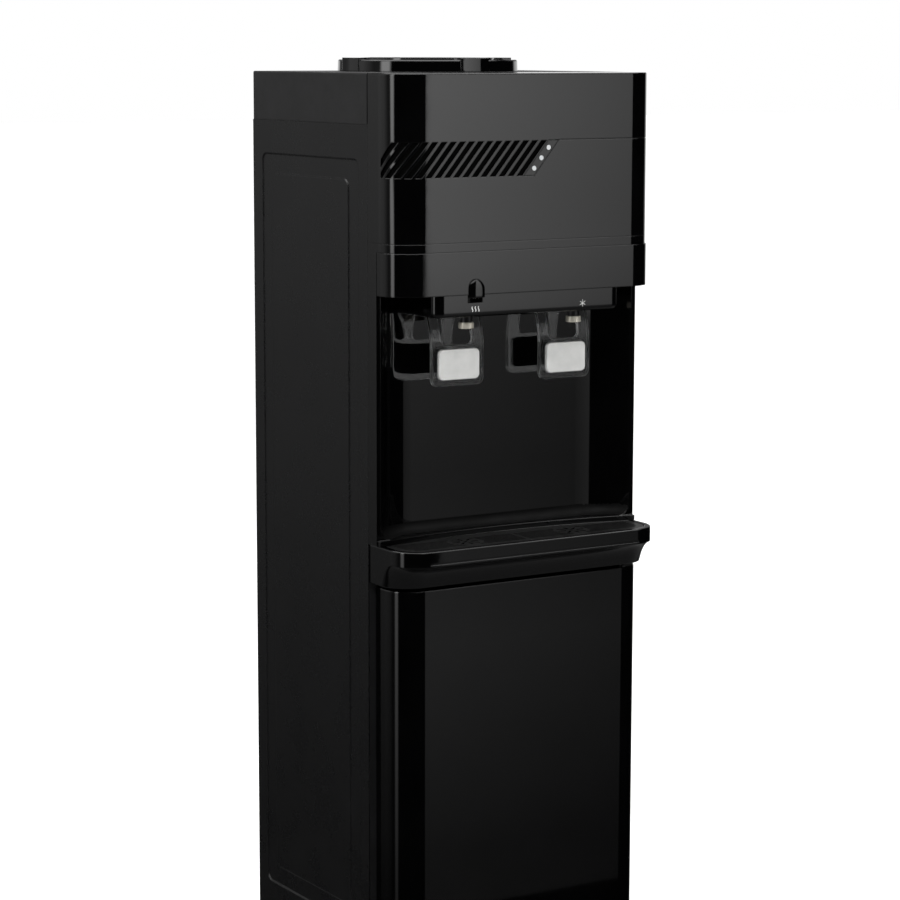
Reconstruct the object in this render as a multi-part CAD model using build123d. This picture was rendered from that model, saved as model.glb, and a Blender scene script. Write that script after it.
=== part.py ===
"""Free-standing top-loading water dispenser, millimetres, +Z up, front towards -Y.

The origin is on the floor, midway across and midway between the shelf front and the condenser.
"""
import os
from math import asin, cos, degrees, radians, sin, sqrt, tan

from build123d import *

# Overall sizes
cabinet_width = 310.0
shell_depth = 240.0
condenser_space = 21.0

# Heights of the stack, from the floor up
foot_height = 12.0
base_height = 34.0
door_bottom_gap = 2.0
door_height = 409.5
door_top_gap = 3.8
shelf_height = 39.1
ledge_height = 5.2
bay_height = 243.8
apron_height = 42.3
trim_height = 8.8
fascia_height = 164.5
cover_height = 50.0

# Materials and clearances
sheet = 1.2
wall = 2.5
slide_gap = 0.3
rest_gap = 0.3
pin_fit = 0.05
tube_fit = 0.2

# How far each front piece stands ahead of the side panels
shelf_depth = 71.0
fascia_depth = 55.0
door_depth = 49.6
base_depth = 45.0
cheek_depth = 17.0
bay_depth_behind_panels = 10.0

# Feet
foot_radius = 17.0
foot_stem_radius = 5.0
foot_stem_length = 14.0
foot_boss_radius = 13.0
foot_rib_reach = 22.0
foot_side_inset = 28.0
foot_front_inset = 10.0
foot_back_inset = 28.0

# Side panel pressing
emboss_depth = 1.2
emboss_front_margin = 18.0
emboss_rear_margin = 20.0
emboss_top_margin = 34.0
emboss_bottom_margin = 82.0
emboss_band = 21.2
emboss_radius = 8.0
rear_flange = 14.0

# Fascia, vent and indicator
fascia_radius = 33.0
fascia_edge_round = 1.6
vent_top_drop = 66.0
vent_height = 34.5
vent_slant = 40.0
vent_pitch = 10.5
vent_slot = 5.2
vent_count = 17
vent_first_x = 0.8
vent_end_margin = 25.5
baffle_wall = 1.5
indicator_width = 12.3
indicator_rib = 1.9
indicator_gap = 0.35
lens_radius = 2.4
lens_height = 10.1
board_thickness = 1.6
split_line = 0.7
split_depth = 0.6

# Apron, tap housing and child lock
apron_radius = 30.0
housing_width = 220.0
housing_drop = 22.4
housing_setback = 1.0
housing_radius = 10.0
housing_step = 3.0
housing_rise = 26.0
housing_corner = 5.0
tap_spacing = 128.0
lock_width = 16.0
lock_height = 18.0
lock_drop = 3.1
lock_proud = 2.0
lock_body = 6.5
lock_flange = 1.3
lock_travel = 3.0

# Taps
valve_height = 25.0
valve_radius = 10.0
valve_inlet_radius = 7.0
valve_inlet_reach = 20.0
valve_front_back_off = 12.4
nozzle_setback = 18.0
nozzle_radius = 7.75
nozzle_length = 6.3
nozzle_drop = 12.3
neck_radius = 6.0
water_bore = 4.0
plunger_radius = 4.0
nut_across_flats = 22.0
nut_thickness = 6.0

# Levers
lever_width = 60.0
lever_opening = 35.0
lever_thickness = 4.5
lever_below_housing = 71.0
lever_opening_bottom = 30.5
lever_setback = 33.0
lever_lean = 9.0
lever_straight = 34.0
lever_corner = 7.0
pivot_height = 10.0
pivot_setback = 45.0
pin_radius = 2.0
hub_radius = 5.0
crossbar_radius = 3.2
tongue = 4.0
lever_swing = 15.0
pad_width = 47.0
pad_height = 30.5
pad_bottom_margin = 6.3
pad_radius = 5.0
pad_proud = 3.4
pad_seat = 2.0

# Dispensing bay
bay_flat_half = 100.0
bay_mouth_half = 150.0
bay_floor_round = 11.0
ledge_front_middle = 3.7
ledge_front_sweep = 20.0

# Drip shelf, tray and grille
shelf_side_inset = 1.3
shelf_radius = 30.0
shelf_band = 15.4
shelf_sweep = 19.0
shelf_rim = 6.0
shelf_groove = 1.4
shelf_groove_drop = 12.0
grille_recess = 3.0
grille_thickness = 2.4
grille_slot = 2.3
grille_pitch = 4.9
grille_bar = 9.0
grille_corner = 14.0
rosette_radius = 17.0
tray_wall = 2.0
tray_rim = 8.0
tray_depth = 22.0
tray_draft = 9.0
tray_back_margin = 17.0
tray_corner = 9.0

# Door
door_side_inset = 7.1
door_radius = 29.0
door_back_gap = 3.0
door_field_margin = 35.0
door_field_depth = 5.0
door_field_wall = 2.0
hinge_inset = 14.0
hinge_ahead = 13.0
hinge_pin_radius = 3.0
hinge_boss_radius = 6.5
hinge_lug_depth = 12.0
hinge_pin_depth = 8.0
magnet_length = 40.0
magnet_breadth = 8.0
magnet_inset = 7.5
strike_margin = 0.5

# Cabinet interior
surround_thickness = 3.0
surround_margin = 18.0
liner_wall = 1.5
liner_lower_depth = 113.0
liner_upper_depth = 223.0
liner_step_clearance = 27.0
deck_thickness = 3.0

# Tanks
tank_setback = 143.0
cold_tank_radius = 76.0
cold_tank_height = 200.0
cold_tank_top_drop = 65.0
tank_sheet = 1.0
tank_corner = 6.0
foam_radius = 93.0
foam_floor = 10.0
bridge_thickness = 2.0
bridge_flange = 22.0
hot_tank_radius = 50.0
hot_tank_height = 140.0
hot_tank_x = -62.0
hot_tank_y = 40.0
hot_foam = 10.0
hot_stand = 6.0
lid_thickness = 4.0
water_tube_radius = 5.0
cold_outlet_x = 40.0
cold_outlet_rise = 16.0
feed_x = 20.0
hot_outlet_setback = 32.0
hot_inlet_rise = 16.0
suction_rise = 20.0
tube_bend = 9.0
feed_bend = 14.0
drain_bend = 12.0

# Bottle collar
collar_radius = 94.0
collar_height = 12.0
collar_tab_height = 14.0
collar_tab_angle = 20.4
collar_band = 9.0
collar_sleeve_radius = 88.0
collar_sleeve_depth = 15.0
collar_opening_gap = 0.5
seat_ring_radius = 69.5
bottle_neck_radius = 66.0
seat_ring_depth = 12.0
funnel_depth = 42.0
spout_radius = 36.0
spout_length = 60.0
probe_radius = 9.0
probe_height = 48.0

# Back and cooling circuit
back_panel_above_base = 179.0
coil_tube_radius = 2.4
coil_half_width = 118.0
coil_runs = 12
coil_low_margin = 3.0
coil_tail = 38.0
coil_top_drop = 40.0
wire_size = 1.5
wire_margin = 44.0
wire_pitch = 18.0
wire_overhang = 12.0
compressor_radius = 54.0
compressor_height = 125.0
compressor_setback = 58.0
mount_height = 12.0
mount_radius = 9.0
mount_spread_x = 58.0
mount_spread_y = 36.0
drier_radius = 9.0
drier_length = 78.0
pipe_radius = 3.0
suction_x = 60.0
discharge_gap = 17.0
drain_x = -84.0
drain_above_panel_edge = 18.0
drain_radius = 6.0
drain_tube_radius = 4.0
drain_reach = 14.0
drain_socket = 8.0
drain_cap_radius = 9.0
drain_cap_length = 14.0
switch_width = 11.0
switch_radius = 10.5
switch_spacing = 20.0
switch_throw = 16.0
switch_drop = 65.0
switch_body_depth = 17.0
switch_x = 75.0
gland_radius = 8.0
gland_bore = 4.2

# Places that follow from the sizes above
overall_depth = shelf_depth + shell_depth + condenser_space
half_width = cabinet_width / 2
inner_half = half_width - sheet
deck_half = inner_half - emboss_depth
front_end = -overall_depth / 2
rear_end = overall_depth / 2
shell_back = rear_end - condenser_space
shell_front = shell_back - shell_depth
base_top = foot_height + base_height
door_bottom = base_top + door_bottom_gap
door_top = door_bottom + door_height
shelf_bottom = door_top + door_top_gap
shelf_top = shelf_bottom + shelf_height
ledge_top = shelf_top + ledge_height
apron_bottom = ledge_top + bay_height
apron_top = apron_bottom + apron_height
fascia_bottom = apron_top + trim_height
cover_top = fascia_bottom + fascia_height
cover_bottom = cover_top - cover_height
fascia_front = shell_front - fascia_depth
cheek_front = shell_front - cheek_depth
bay_back = shell_front + bay_depth_behind_panels
housing_bottom = apron_bottom - housing_drop
housing_front = fascia_front + housing_setback
housing_half = housing_width / 2
door_front = shell_front - door_depth
door_back = shell_front - door_back_gap
door_half = half_width - door_side_inset
hinge_x = half_width - hinge_inset
hinge_y = shell_front - hinge_ahead
valve_z = housing_bottom + valve_height
nozzle_y = fascia_front + nozzle_setback
nozzle_bottom = housing_bottom - nozzle_drop
pivot_y = fascia_front + pivot_setback
pivot_z = housing_bottom + pivot_height
tank_y = shell_front + tank_setback
cold_tank_top = cover_top - cold_tank_top_drop
cold_tank_bottom = cold_tank_top - cold_tank_height
bridge_top = cold_tank_bottom - foam_floor
deck_top = shelf_bottom - surround_thickness
hot_tank_bottom = deck_top + hot_stand + hot_foam
hot_tank_top = hot_tank_bottom + hot_tank_height
coil_y = shell_back + condenser_space / 2
discharge_x = -(coil_half_width + discharge_gap)
switch_z = cover_bottom - switch_drop
coil_top = switch_z - coil_top_drop
back_panel_bottom = base_top + back_panel_above_base
coil_last = back_panel_bottom + coil_low_margin
coil_pitch = (coil_top - coil_last) / (coil_runs - 1)
drain_z = back_panel_bottom + drain_above_panel_edge
liner_step_height = base_top + mount_height + compressor_height + liner_step_clearance
panel_back_face = shell_back - sheet


def slab(outline, bottom, top):
    """A plan outline raised from one height to another."""
    return Pos(0, 0, bottom) * extrude(outline, amount=top - bottom)


def span(x, y, z):
    """A cuboid given by its (low, high) pair on each axis."""
    size = Box(x[1] - x[0], y[1] - y[0], z[1] - z[0])
    return Pos((x[0] + x[1]) / 2, (y[0] + y[1]) / 2, (z[0] + z[1]) / 2) * size


def rod_x(x0, x1, y, z, radius):
    """A cylinder along X."""
    return Pos((x0 + x1) / 2, y, z) * Rot(0, 90, 0) * Cylinder(radius, x1 - x0)


def rod_y(y0, y1, x, z, radius):
    """A cylinder along Y."""
    return Pos(x, (y0 + y1) / 2, z) * Rot(90, 0, 0) * Cylinder(radius, y1 - y0)


def rod_z(z0, z1, x, y, radius):
    """A cylinder along Z."""
    return Pos(x, y, (z0 + z1) / 2) * Cylinder(radius, z1 - z0)


def plan(half, front, back, radius):
    """Plan outline with a straight back and rounded front corners."""
    outline = Pos(0, (front + back) / 2) * Rectangle(2 * half, back - front)
    return fillet(outline.vertices().group_by(Axis.Y)[0], radius)


def elevation(points, front, back):
    """A polygon of (x, z) points pushed through from the front plane to the back plane."""
    face = Plane((0, back, 0), x_dir=(1, 0, 0), z_dir=(0, -1, 0)) * Polygon(*points, align=None)
    return extrude(face, amount=back - front, dir=(0, -1, 0))


def tube(points, bend_radii, radius):
    """A round tube along straight runs joined by tangent arcs."""
    path = FilletPolyline(*points, radius=bend_radii)
    section = Plane(origin=path @ 0, z_dir=path % 0) * Circle(radius)
    return sweep(section, path=path)


def side_panel_left():
    """Pressed steel side with a sunk band round a raised field and a rear return flange."""
    bottom = foot_height + 2
    height = cover_bottom - bottom
    outer = -half_width
    panel = span((outer, outer + sheet), (shell_front, shell_back), (bottom, cover_bottom))
    low = bottom + emboss_bottom_margin
    high = cover_bottom - emboss_top_margin
    front = shell_front + emboss_front_margin
    back = shell_back - emboss_rear_margin
    middle = ((front + back) / 2, (low + high) / 2)
    face = Plane((outer, middle[0], middle[1]), x_dir=(0, 1, 0), z_dir=(1, 0, 0))
    field = (back - front - 2 * emboss_band, high - low - 2 * emboss_band)
    rim = extrude(face * RectangleRounded(back - front, high - low, emboss_radius), emboss_depth, taper=45)
    island = extrude(face * RectangleRounded(*field, emboss_radius), emboss_depth, taper=-45)
    band = rim - island
    flange = span((outer, outer + rear_flange), (shell_back - sheet, shell_back), (bottom, cover_bottom))
    return panel - band + Pos(sheet, 0, 0) * band + flange


def base_plinth():
    """Moulded base, open below, with four ribbed foot bosses and the lower hinge lug."""
    middle = (shell_front + panel_back_face) / 2
    rear = Pos(0, middle) * Rectangle(2 * inner_half, panel_back_face - shell_front)
    outline = plan(door_half, shell_front - base_depth, shell_front + 1, door_radius - 2) + rear
    body = slab(outline, foot_height, base_top)
    hollow = slab(offset(outline, -wall, kind=Kind.INTERSECTION), foot_height, base_top - wall)
    body -= hollow
    for x, y in foot_places():
        boss = rod_z(foot_height, base_top - wall, x, y, foot_boss_radius)
        along = (y - foot_rib_reach, y + foot_rib_reach)
        rib = span((x - 1, x + 1), along, (foot_height + 8, base_top - wall))
        body += boss + rib
        body -= rod_z(foot_height, foot_height + foot_stem_length + 1, x, y, foot_stem_radius + pin_fit)
    boss = rod_z(base_top - hinge_lug_depth, base_top, hinge_x, hinge_y, hinge_boss_radius)
    body += boss & slab(outline, foot_height, base_top)
    body -= rod_z(base_top - hinge_pin_depth, base_top, hinge_x, hinge_y, hinge_pin_radius + pin_fit / 5)
    return body


def foot_places():
    """Plan places of the four feet."""
    x = half_width - foot_side_inset
    front = shell_front + foot_front_inset
    back = shell_back - foot_back_inset
    return [(-x, front), (x, front), (-x, back), (x, back)]


def feet():
    """Levelling feet: a rubber disc with a stem up into its boss."""
    group = []
    for x, y in foot_places():
        disc = rod_z(0, foot_height, x, y, foot_radius)
        disc = chamfer(disc.edges().group_by(Axis.Z)[0], 1.5)
        group.append(disc + rod_z(foot_height - 1, foot_height + foot_stem_length, x, y, foot_stem_radius))
    return group


def top_cover():
    """Top cover with its skirt, open to the fascia in front, and the round collar opening."""
    half = half_width + 0.5
    back = shell_back + 0.5
    outline = Pos(0, (shell_front + back) / 2) * Rectangle(2 * half, back - shell_front)
    outline = fillet(outline.vertices().group_by(Axis.Y)[-1], 4)
    body = slab(outline, cover_bottom, cover_top)
    top_edges = body.faces().sort_by(Axis.Z)[-1].edges().filter_by(lambda e: e.center().Y > shell_front + 1)
    body = fillet(top_edges, fascia_edge_round)
    inner = Pos(0, (shell_front + back - wall - 0.5) / 2) * Rectangle(
        2 * (half - wall), back - wall - shell_front + 0.5
    )
    body -= slab(inner, cover_bottom, cover_top - wall)
    lip = 0.8
    rebate = span((-half, -half + lip), (shell_front, back), (cover_bottom, cover_bottom + lip))
    body -= rebate + mirror(rebate, about=Plane.YZ)
    opening = collar_sleeve_radius + collar_opening_gap
    ring = rod_z(cover_top - 12, cover_top, 0, tank_y, opening + wall)
    body += ring & slab(outline, cover_bottom, cover_top)
    return body - rod_z(cover_top - 20, cover_top + 1, 0, tank_y, opening)


def bottle_collar():
    """Lift-out collar: outer ring, seat ring for the bottle neck, funnel and spout."""
    r = collar_radius
    top = collar_height
    profile = [
        (bottle_neck_radius, collar_tab_height),
        (seat_ring_radius, collar_tab_height),
        (seat_ring_radius + 1, 4),
        (r - collar_band, 4),
        (r - collar_band, top),
        (r - 1.5, top),
        (r - 0.4, top - 1.2),
        (r, 0),
        (collar_sleeve_radius, 0),
        (collar_sleeve_radius, -collar_sleeve_depth),
        (collar_sleeve_radius - wall, -collar_sleeve_depth),
        (collar_sleeve_radius - wall, 1),
        (bottle_neck_radius + wall, 1),
        (spout_radius, -funnel_depth - 1),
        (spout_radius, -spout_length),
        (spout_radius - wall, -spout_length),
        (spout_radius - wall, -funnel_depth),
        (bottle_neck_radius, collar_tab_height - seat_ring_depth),
    ]
    place = Pos(0, tank_y, cover_top)
    body = revolve(Plane.XZ * Polygon(*profile, align=None), Axis.Z)
    inside = r - collar_band - 1
    tab = [(inside, 2), (r + 0.5, 0), (r + 0.3, collar_tab_height), (inside, collar_tab_height)]
    sector = revolve(Plane.XZ * Polygon(*tab, align=None), Axis.Z, revolution_arc=collar_tab_angle)
    sector = Rot(0, 0, -collar_tab_angle / 2) * sector
    for turn in range(4):
        body += Rot(0, 0, 90 * turn) * sector
    floor = rod_z(-spout_length + 6, -spout_length + 9, 0, 0, spout_radius - wall)
    for turn in range(6):
        floor -= Rot(0, 0, 60 * turn) * rod_z(-spout_length, 0, 21, 0, 7)
    return place * (body + floor)


def water_probe():
    """Feed probe that opens the bottle cap, with four side windows under a domed tip."""
    base = cover_top - spout_length + 9
    tip = base + probe_height
    probe = rod_z(base, tip, 0, tank_y, probe_radius)
    probe = fillet(probe.edges().group_by(Axis.Z)[-1], probe_radius * 0.6)
    probe += rod_z(base, base + 2, 0, tank_y, probe_radius + 4)
    probe -= rod_z(base, tip - 8, 0, tank_y, probe_radius - 2)
    window = span((-20, 20), (tank_y - 2.5, tank_y + 2.5), (tip - 24, tip - 12))
    return probe - window - Pos(0, tank_y, 0) * Rot(0, 0, 90) * Pos(0, -tank_y, 0) * window


def fascia_outline(inset=0.0):
    """Plan outline of the fascia, or of a surface inside it."""
    return plan(half_width - inset, fascia_front + inset, shell_front, fascia_radius - inset)


def vent_cuts():
    """Slanted vent slots; where the front turns into the side they twist round the corner."""
    top = cover_top - vent_top_drop
    bottom = top - vent_height
    lean = vent_height / 2 * tan(radians(vent_slant))
    half_slot = vent_slot / 2 / cos(radians(vent_slant))
    corner_x = -half_width + fascia_radius
    corner_y = fascia_front + fascia_radius
    twist = degrees(2 * lean / fascia_radius)
    lap = 0.3
    relief = 0.03
    front_side = span((corner_x - lap, half_width), (fascia_front - 5, corner_y), (bottom, top))
    corner_side = span((corner_x - 60, corner_x), (fascia_front - 5, shell_front - vent_end_margin),
                       (bottom, top))
    flat_cuts = []
    corner_cuts = []
    for index in range(vent_count):
        middle = vent_first_x - vent_pitch * index
        low = middle - lean
        high = middle + lean
        if high + half_slot > corner_x + lap:
            reach = half_slot - relief
            points = [(low - reach, bottom), (low + reach, bottom), (high + reach, top), (high - reach, top)]
            flat_cuts.append(elevation(points, fascia_front - 2, fascia_front + wall + 2) & front_side)
        if low - half_slot < corner_x - lap:
            start = 270 - degrees((corner_x - low + half_slot) / fascia_radius)
            sweep_angle = degrees(2 * half_slot / fascia_radius)
            inner = fascia_radius - wall - 1.5
            outer = fascia_radius + 1.5
            sector = corner_sector(corner_x, corner_y, bottom, inner, outer, start, sweep_angle)
            cut = Solid.extrude_linear_with_rotation(
                sector, (corner_x, corner_y, bottom), (0, 0, vent_height), twist
            )
            corner_cuts.append(cut & corner_side)
    return flat_cuts, corner_cuts


def corner_sector(x, y, z, inner, outer, start, sweep_angle):
    """A short piece of a flat ring about an upright corner axis."""
    def at(radius, angle):
        return (x + radius * cos(radians(angle)), y + radius * sin(radians(angle)), z)

    middle = start + sweep_angle / 2
    end = start + sweep_angle
    outer_arc = ThreePointArc(at(outer, start), at(outer, middle), at(outer, end))
    inner_arc = ThreePointArc(at(inner, end), at(inner, middle), at(inner, start))
    lines = [Line(outer_arc @ 1, inner_arc @ 0), Line(inner_arc @ 1, outer_arc @ 0)]
    return Face(Wire([outer_arc.edge(), lines[0].edge(), inner_arc.edge(), lines[1].edge()]))


def indicator_points(grow=0.0):
    """Corners of the slanted indicator plate in the front plane."""
    top = cover_top - vent_top_drop + grow
    bottom = cover_top - vent_top_drop - vent_height - grow
    slope = tan(radians(vent_slant))
    half_slot = vent_slot / 2 / cos(radians(vent_slant))
    left = vent_first_x + half_slot + indicator_rib - grow
    right = left + indicator_width + 2 * grow
    reach = (top - bottom) / 2 * slope
    return [(left - reach, bottom), (right - reach, bottom), (right + reach, top), (left + reach, top)]


def fascia():
    """Upper front shell with round corners, wrapped vent, plate opening and parting line."""
    body = slab(fascia_outline(), fascia_bottom, cover_top)
    rim = body.faces().sort_by(Axis.Z)[-1].edges().filter_by(lambda e: e.center().Y < shell_front - 1)
    body = fillet(rim, fascia_edge_round)
    inner = plan(half_width - wall, fascia_front + wall, shell_front + 1, fascia_radius - wall)
    body -= slab(inner, fascia_bottom, cover_top - wall)
    line_z = cover_top - vent_top_drop
    groove = slab(fascia_outline(), line_z, line_z + split_line)
    groove -= slab(fascia_outline(split_depth), line_z, line_z + split_line)
    start = max(x for x, z in indicator_points())
    body -= groove & span((start, half_width + 1), (fascia_front - 1, shell_front + 1),
                          (line_z - 1, line_z + 2))
    flat_cuts, corner_cuts = vent_cuts()
    for cut in flat_cuts + corner_cuts:
        body -= cut
    return body - elevation(indicator_points(indicator_gap), fascia_front - 1, fascia_front + wall + 1)


def vent_baffle():
    """Dark baffle that backs the slots inside the fascia, following its corner."""
    top = cover_top - vent_top_drop + 5
    bottom = cover_top - vent_top_drop - vent_height - 5
    outer = fascia_outline(wall)
    inner = plan(half_width - wall - baffle_wall, fascia_front + wall + baffle_wall, shell_front + 1,
                 fascia_radius - wall - baffle_wall)
    shell = slab(outer, bottom, top) - slab(inner, bottom, top)
    keep = span((-half_width, 45), (fascia_front, shell_front - vent_end_margin + 8), (bottom, top))
    hole = elevation(indicator_points(indicator_gap), fascia_front, fascia_front + 20)
    return (shell & keep) - hole


def lens_places():
    """Places of the three lenses down the middle of the slanted plate."""
    points = indicator_points()
    middle_x = sum(x for x, z in points) / 4
    middle_z = sum(z for x, z in points) / 4
    slope = tan(radians(vent_slant))
    return [(middle_x + step * lens_height * slope, middle_z + step * lens_height) for step in (-1, 0, 1)]


def indicator_panel():
    """Slanted plate set into the end of the vent, with three lens holes."""
    plate = elevation(indicator_points(), fascia_front + 0.3, fascia_front + wall + baffle_wall)
    for x, z in lens_places():
        plate -= rod_y(fascia_front - 1, fascia_front + wall + 3, x, z, lens_radius + pin_fit)
    return plate


def indicator_lenses():
    """Three round light windows."""
    depth = fascia_front + wall + baffle_wall
    return [rod_y(fascia_front + 0.1, depth, x, z, lens_radius) for x, z in lens_places()]


def indicator_board():
    """Small circuit board behind the plate with one lamp under each window."""
    back = fascia_front + wall + baffle_wall
    points = indicator_points()
    x = (points[0][0] - 4, points[2][0] + 4)
    z = (points[0][1] - 3, points[2][1] + 3)
    board = span(x, (back, back + board_thickness), z)
    connector = span((x[0] + 4, x[0] + 14), (back, back + 7), (z[0] + 3, z[0] + 9))
    return board + connector


def bay_plan(grow, back_shift, forward=60.0):
    """Plan of the hollow: a flat back whose sides sweep forward in arcs to the cheeks."""
    flat = bay_flat_half
    mouth = bay_mouth_half + grow
    back = bay_back + back_shift
    front = cheek_front
    rise = back - front
    run = mouth - flat
    radius = (run * run + rise * rise) / (2 * rise)
    half_turn = degrees(2 * asin(rise / sqrt(run * run + rise * rise))) / 2
    middle = (flat + radius * sin(radians(half_turn)), back - radius * (1 - cos(radians(half_turn))))
    right = ThreePointArc((flat, back), middle, (mouth, front))
    left = mirror(right, about=Plane.YZ)
    lines = [
        Line((-flat, back), (flat, back)),
        Line((mouth, front), (mouth, front - forward)),
        Line((mouth, front - forward), (-mouth, front - forward)),
        Line((-mouth, front - forward), (-mouth, front)),
    ]
    return make_face([right.edge(), left.edge()] + [line.edge() for line in lines])


def ledge_cut(top, bottom, gap=0.0):
    """Everything ahead of the bowed front edge of the ledge."""
    chord = half_width + 5
    middle = shell_front - ledge_front_middle - gap
    end = middle - ledge_front_sweep
    arc = ThreePointArc((-chord, end), (0, middle), (chord, end))
    lines = [
        Line((chord, end), (chord, front_end - 20)),
        Line((chord, front_end - 20), (-chord, front_end - 20)),
        Line((-chord, front_end - 20), (-chord, end)),
    ]
    face = make_face([arc.edge()] + [line.edge() for line in lines])
    return slab(face, bottom, top)


def bay_panel():
    """Front moulding of the bay: hollowed wall, cheeks, bowed ledge and trim band."""
    hollow = slab(bay_plan(0, 0), ledge_top, apron_top)
    floor_edges = hollow.edges().group_by(Axis.Z)[0].filter_by(lambda e: e.center().Y > cheek_front - 1)
    hollow = fillet(floor_edges, bay_floor_round)
    cheeks = Pos(0, (cheek_front + shell_front) / 2) * Rectangle(cabinet_width, cheek_depth)
    inside = Pos(0, (shell_front + bay_back + wall) / 2) * Rectangle(
        2 * inner_half, bay_back + wall - shell_front
    )
    block = slab(cheeks + inside, shelf_top, apron_top)
    body = block - hollow
    pocket_sides = slab(bay_plan(wall, wall, 0.5), ledge_top + bay_floor_round, apron_top)
    behind = span((-inner_half, inner_half), (shell_front, bay_back + wall), (ledge_top + 2, apron_top))
    body -= (behind - pocket_sides) & span(
        (-inner_half + wall, inner_half - wall), (shell_front, bay_back + wall + 1),
        (ledge_top + 25, apron_top - wall)
    )
    ledge = span((-half_width, half_width), (front_end, cheek_front), (shelf_top, ledge_top))
    body += ledge & span((-inner_half, inner_half), (front_end, shell_front), (shelf_top, ledge_top))
    body -= ledge_cut(ledge_top + 0.01, shelf_top - 1)
    band = slab(fascia_outline(), apron_top, fascia_bottom)
    band -= slab(fascia_outline(wall), apron_top, fascia_bottom)
    web = slab(fascia_outline(wall), fascia_bottom - wall, fascia_bottom)
    back_strip = span((-inner_half, inner_half), (shell_front, bay_back + wall), (apron_top, fascia_bottom))
    web -= span((-110, 110), (cheek_front - 24, cheek_front), (apron_top, fascia_bottom + 1))
    body += band + web + back_strip
    for x in (-tap_spacing / 2, tap_spacing / 2):
        body -= rod_y(bay_back - 1, bay_back + wall + 1, x, valve_z, valve_inlet_radius + pin_fit)
    return body


def lock_notch(grow, top_extra=0.0):
    """The child-lock opening: straight sides under a round head."""
    width = lock_width + 2 * grow
    bottom = apron_bottom - lock_drop
    top = bottom + lock_height + grow
    x = -tap_spacing / 2
    stem = span((x - width / 2, x + width / 2), (fascia_front - 4, fascia_front + 12),
                (bottom - 5, top - width / 2))
    return stem + rod_y(fascia_front - 4, fascia_front + 12, x, top - width / 2, width / 2)


def apron():
    """Curved skirt under the trim band, with a bottom flange and the child-lock notch."""
    outline = plan(half_width, fascia_front, cheek_front, apron_radius)
    inner = plan(half_width - wall, fascia_front + wall, cheek_front + 1, apron_radius - wall)
    body = slab(outline, apron_bottom, apron_top)
    edge = body.edges().filter_by(Axis.Z).group_by(Axis.Y)[-1]
    body = chamfer(edge, 0.8)
    body -= slab(inner, apron_bottom + wall, apron_top)
    step = housing_outline(housing_step - 0.1, cheek_front + 1)
    body -= slab(step, apron_bottom - 1, apron_bottom + wall + 1)
    return body - lock_notch(slide_gap)


def housing_outline(inset=0.0, back=None):
    """Plan outline of the tap housing or of a surface inside it."""
    rear = bay_back if back is None else back
    return plan(housing_half - inset, housing_front + inset, rear, housing_radius - inset / 2)


def tap_housing():
    """Strip that carries both taps, open above and behind, stepped to sit in the apron."""
    top = apron_bottom + housing_rise
    body = slab(housing_outline(), housing_bottom, apron_bottom)
    ends = body.edges().filter_by(Axis.Y).group_by(Axis.Z)[0]
    body = fillet(ends, housing_corner)
    body += slab(housing_outline(housing_step), apron_bottom - 1, top)
    inner = plan(housing_half - housing_step - wall, housing_front + housing_step + wall, bay_back + 1, 4)
    body -= slab(inner, housing_bottom + wall, top)
    body -= lock_notch(slide_gap)
    body &= slab(bay_plan(0, 0), housing_bottom - 1, top + 1)
    for x in (-tap_spacing / 2, tap_spacing / 2):
        body -= rod_z(housing_bottom - 1, housing_bottom + wall + 1, x, nozzle_y, neck_radius + slide_gap)
        for side in (-1, 1):
            arm = x + side * (lever_opening + lever_width) / 4
            reach = (lever_width - lever_opening) / 4 + 1
            slot = span((arm - reach, arm + reach), (pivot_y - 10, pivot_y + 8),
                        (housing_bottom - 1, housing_bottom + wall + 1))
            body -= slot
            cheek = x + side * (lever_width / 2 + 1.5 + wall / 2)
            ear = span((cheek - wall / 2, cheek + wall / 2), (pivot_y - 7, pivot_y + 7),
                       (housing_bottom + wall, pivot_z + 6))
            body += ear
        body -= rod_x(x - 45, x + 45, pivot_y, pivot_z, pin_radius + pin_fit / 5)
    return body


def child_lock_button():
    """Half-round push button with a domed head and a flange behind the housing wall."""
    x = -tap_spacing / 2
    radius = lock_width / 2
    sides = (x - radius, x + radius)
    middle_y = fascia_front - lock_proud + radius
    bottom = apron_bottom - lock_drop
    head_z = bottom + lock_height - radius
    flange_y = housing_front + housing_step + wall + rest_gap
    bar = rod_z(bottom, head_z, x, middle_y, radius) + Pos(x, middle_y, head_z) * Sphere(radius)
    bar &= span(sides, (middle_y - radius, middle_y), (bottom, head_z + radius))
    shank = span(sides, (middle_y - 1, flange_y + 0.1), (bottom + 1, head_z))
    flange = span((sides[0] - 2, sides[1] + 2), (flange_y, flange_y + lock_flange),
                  (apron_bottom + wall + 0.5, head_z))
    return bar + shank + flange


def tap_body(x):
    """Valve body: barrel, inlet through the bay wall, and the neck down to the nozzle."""
    front = fascia_front + valve_front_back_off
    body = rod_y(front, bay_back, x, valve_z, valve_radius)
    body = fillet(body.edges().group_by(Axis.Y)[0], 2)
    body += rod_y(bay_back - 1, bay_back + valve_inlet_reach, x, valve_z, valve_inlet_radius)
    body += rod_z(nozzle_bottom + 3, valve_z, x, nozzle_y, neck_radius)
    body -= rod_z(nozzle_bottom, valve_z, x, nozzle_y, water_bore)
    body -= rod_y(front + 4, pivot_y + 14, x, valve_z, plunger_radius + slide_gap)
    body -= rod_y(bay_back + 4, bay_back + 40, x, valve_z, water_bore)
    slot = span((x - tongue / 2 - 1, x + tongue / 2 + 1), (pivot_y - 8, pivot_y + 6), (0, valve_z))
    return body - slot


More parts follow.
